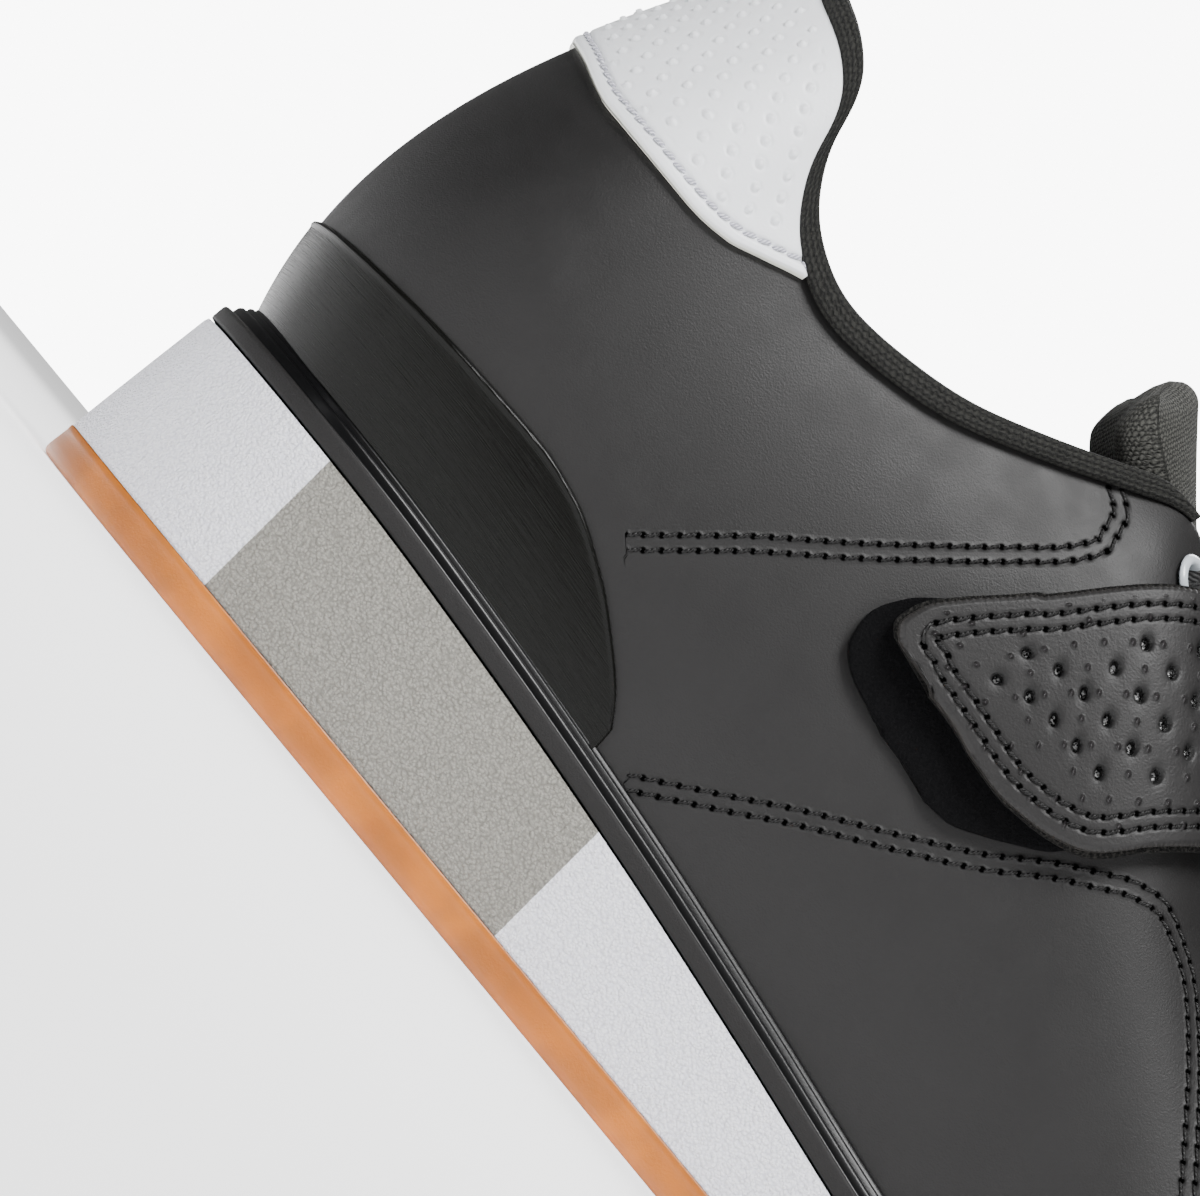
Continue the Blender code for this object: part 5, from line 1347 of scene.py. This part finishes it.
# Line of the strap's double seam: where the distance from the edge is right
level = strap["seamIn"]
rearLine, frontLine = [], []
for i in range(len(reach)):
    inside = np.nonzero(edgeGap[i] > level)[0]
    if len(inside) > 1 and inside[0] > 0:
        j = inside[0]
        rearLine.append((i, j - (edgeGap[i, j] - level) / (edgeGap[i, j] - edgeGap[i, j - 1])))
        j = inside[-1]
        frontLine.append((i, j + (edgeGap[i, j] - level) / (edgeGap[i, j] - edgeGap[i, j + 1])))
loop = np.array(rearLine[::-1] + frontLine)
flatNormal = np.cross(np.gradient(flatGrid, axis=0), np.gradient(flatGrid, axis=1))
flatNormal /= np.linalg.norm(flatNormal, axis=-1, keepdims=True) + 1e-12
flatNormal *= np.sign(flatNormal[crest, 60, 2])
line, normal = gridRead(flatGrid, loop), gridRead(flatNormal, loop)
run = np.r_[0, np.cumsum(np.linalg.norm(np.diff(line, axis=0), axis=1))]
at = np.linspace(0, run[-1], int(run[-1] / (0.7 * mm)))
line = np.stack([np.interp(at, run, line[:, i]) for i in range(3)], -1)
normal = np.stack([np.interp(at, run, normal[:, i]) for i in range(3)], -1)
for _ in range(2):
    line[1:-1] = (line[:-2] + 2 * line[1:-1] + line[2:]) / 4
normal /= np.linalg.norm(normal, axis=1, keepdims=True)
seamSide, seamRun, seamNear = seamFields(flatGrid, [(line, normal)])
strapValues = {
    "field": np.r_[field.ravel(), np.zeros(m)],
    "studded": np.r_[studded.ravel(), np.zeros(m)],
    "cutEdge": np.r_[smoothStep(1 - edgeGap / (0.45 * mm)).ravel(), np.ones(m)],
    "seamSide": np.r_[seamSide, np.full(m, 6 * mm)],
    "seamRun": np.r_[seamRun, np.zeros(m)],
    "seamNear": np.r_[seamNear, np.zeros(m)],
}
makePiece("strap_band", np.concatenate([outer.reshape(-1, 3), skirt.reshape(-1, 3)[rimIndex]]),
          np.concatenate([gridQuads(len(reach), len(side)), rimQuads]), strapMaterial(), "strap_leather", ["strap"],
          uv=np.concatenate([np.stack([u, v], -1).reshape(-1, 2), np.stack([u, v], -1).reshape(-1, 2)[rimIndex]]) * 1000, values=strapValues)
threadRows = [threadRow(line, normal, stitching["pitch"], stitching["thread"], row * stitching["rowGap"] / 2) for row in (-1, 1)]
verts, quads, flat = joinRows(threadRows)
makePiece("strap_stitching", verts, quads, blackThread, "strap_leather", uv=flat)

# Hook layer under the strap, a little proud of its edge
x2, a2 = bandGrid(strapRows, reach[::4], np.linspace(-0.02, 1.02, 40))
lift2 = lift[::4, :1] * np.ones(x2.shape)
top, low = instepAt(x2, a2, lift2 + 1.1 * mm), instepAt(x2, a2, lift2 + 0.05 * mm)
ring = np.concatenate([top, low[:, ::-1]], axis=1)
count = ring.shape[1]
ends = [list(range(count)), [(len(ring) - 1) * count + i for i in range(count)]]
makePiece("strap_backing", ring, gridQuads(len(ring), count, wrapCols=True), fuzzMaterial("hookTape", "#0b0b0b", "#2a2927"), "loop_tape", extra=ends)

# Loop tape pad on the upper
reachPad = np.linspace(padRows[0, 0], padRows[-1, 0], 60)
x3, a3 = bandGrid(padRows, reachPad, np.linspace(0, 1, 60))
top, low = instepAt(x3, a3, np.full(x3.shape, 1.35 * mm)), instepAt(x3, a3, np.full(x3.shape, 0.1 * mm))
top[0] = instepAt(x3[0], a3[0], np.full(60, 0.9 * mm))
ring = np.concatenate([top, low[:, ::-1]], axis=1)
count = ring.shape[1]
ends = [list(range(count)), [(len(ring) - 1) * count + i for i in range(count)]]
makePiece("loop_pad", ring, gridQuads(len(ring), count, wrapCols=True), fuzzMaterial("loopTape", "#020203", "#070708"), "loop_tape", ["strap_pad"], extra=ends)
print("strap")

# Eyelet rings
ringSection = np.array([(2.2, -2.0), (2.15, 0.2), (2.3, 0.75), (2.75, 1.15), (3.3, 1.1), (3.85, 0.7), (4.0, 0.3), (3.9, 0.08), (3.0, 0.08), (2.6, -0.2), (2.5, -2.0)]) * mm
ringSection = sectionPath(ringSection, 26)
angle = np.linspace(0, 2 * np.pi, 49)[:-1]
for (sideKey, k), (p, n, _, _) in eyeletFrames.items():
    e1 = np.cross(n, (0.0, 1.0, 0.0))
    e1 /= np.linalg.norm(e1)
    e2 = np.cross(n, e1)
    circle = np.cos(angle)[:, None] * e1 + np.sin(angle)[:, None] * e2
    grid = p + ringSection[:, :1, None] * circle[None] + ringSection[:, 1:2, None] * n
    word = "lateral" if sideKey < 0 else "medial"
    if "ringPaint" not in globals():
        ringPaint = ringMaterial()
    makePiece(f"ring_{word}_{k + 1}", grid, gridQuads(len(ringSection), len(angle), wrapRows=True, wrapCols=True), ringPaint,
              "eyelet_plastic", [f"eyelet_{word}_{k + 1}"])
print("eyelets")

# Lace: flat runs from eyelet to eyelet, down into each ring
lace = {"width": 6.0 * mm, "thick": 1.3 * mm}
laceRows = []
for k in range(eyelets["rows"] - 1):
    for sideKey in (-1, 1):
        start, end = eyeletFrames[sideKey, k], eyeletFrames[-sideKey, k + 1]
        path = []
        for (p, n, _, _), sgn in ((start, 1), (end, -1)):
            line = sectionLine(p[0])
            run = np.r_[0, np.cumsum(np.linalg.norm(np.diff(line, axis=0), axis=1))]
            run = run - run[np.argmax(line[:, 1])]
            arc = run[np.argmin(np.linalg.norm(line - p[1:], axis=1))]
            path.append((p[0], arc))
        f = np.linspace(0, 1, 90)
        x = path[0][0] + (path[1][0] - path[0][0]) * f
        a = path[0][1] + (path[1][1] - path[0][1]) * f
        fromHole = np.minimum(np.abs(a - path[0][1]), np.abs(a - path[1][1]))
        lift = 1.1 * mm + (0.45 * mm if sideKey > 0 else 0) + 0.9 * mm * np.exp(-((fromHole - 4 * mm) / (2.5 * mm))**2)
        lift = lift - 3.6 * mm * smoothStep(1 - fromHole / (2.4 * mm))
        narrow = 0.55 + 0.45 * smoothStep((fromHole - 1.5 * mm) / (5 * mm))
        q = np.linspace(0, 2 * np.pi, 25)[:-1]
        sx = np.sign(np.cos(q)) * np.abs(np.cos(q))**0.6 * lace["width"] / 2
        sz = np.sign(np.sin(q)) * np.abs(np.sin(q))**0.7 * lace["thick"] / 2
        ringGrid = instepAt(x[:, None] + sx[None, :] * narrow[:, None], a[:, None] + 0 * sx[None, :], lift[:, None] + sz[None, :] / narrow[:, None]**0.5)
        flat = np.stack(np.broadcast_arrays(runLength(ringGrid, 0) * 1000, (sx * 1000)[None, :]), -1)
        laceRows.append((ringGrid.reshape(-1, 3), gridQuads(len(x), len(q), wrapCols=True), flat.reshape(-1, 2)))
verts, quads, flat = joinRows(laceRows)
makePiece("lace_runs", verts, quads, laceMaterial(), "lace_knit", ["lace"], uv=flat)
print("lace")

# Floor, light and surroundings
floorMesh = bpy.data.meshes.new("floor")
floorMesh.from_pydata([(-4, -4, 0), (4, -4, 0), (4, 4, 0), (-4, 4, 0)], [], [(0, 1, 2, 3)])
floor = bpy.data.objects.new("floor", floorMesh)
bpy.context.scene.collection.objects.link(floor)
floorPaint, tree, shader = startMaterial("paleFloor", 0.75, 1.45, Emission_Strength=0.8)
shader.inputs["Emission Color"].default_value = (1, 1, 1, 1)
shade = noiseNode(tree, objectPoint(tree), 60.0, 2.0)
tree.links.new(mixColours(tree, shade, linearColour("#f1f1f2"), linearColour("#f5f5f6")), shader.inputs["Base Color"])
floorMesh.materials.append(floorPaint)
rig.stage(floor)
world = bpy.data.worlds.new("studio")
bpy.context.scene.world = world
world.use_nodes = True
tree = world.node_tree
seen = addNode(tree, "ShaderNodeBackground", None, Color=(1, 1, 1, 1), Strength=9.0)
fill = addNode(tree, "ShaderNodeBackground", None, Color=(1, 1, 1, 1), Strength=0.13)
ray = addNode(tree, "ShaderNodeLightPath").outputs["Is Camera Ray"]
both = addNode(tree, "ShaderNodeMixShader", None, i0=ray, i1=fill.outputs[0], i2=seen.outputs[0])
tree.links.new(both.outputs[0], tree.nodes["World Output"].inputs["Surface"])


def softLight(name, place, aim, size, power):
    data = bpy.data.lights.new(name, "AREA")
    data.shape = "RECTANGLE"
    data.size, data.size_y = size
    data.energy = power
    lamp = bpy.data.objects.new(name, data)
    bpy.context.scene.collection.objects.link(lamp)
    lamp.location = place
    lamp.rotation_euler = (Vector(aim) - Vector(place)).to_track_quat("-Z", "Y").to_euler()
    return lamp


softLight("topSoftbox", (-0.12, -0.55, 0.95), (-0.02, 0.0, 0.05), (0.5, 0.4), 22)
softLight("frontSoftbox", (0.85, -0.9, 0.5), (0.0, 0.0, 0.05), (0.4, 0.5), 7)
softLight("rearPanel", (-0.72, -0.40, 0.2), (-0.1, 0.0, 0.05), (0.12, 0.5), 0.3)
softLight("backSoftbox", (-0.1, 0.9, 0.8), (0.0, 0.0, 0.06), (0.6, 0.5), 10)

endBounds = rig.bounds()
with open("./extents.json", "w") as sizes:
    sizes.write(str({"start": [list(map(float, c)) for c in startBounds], "end": [list(map(float, c)) for c in endBounds]}).replace("'", '"'))
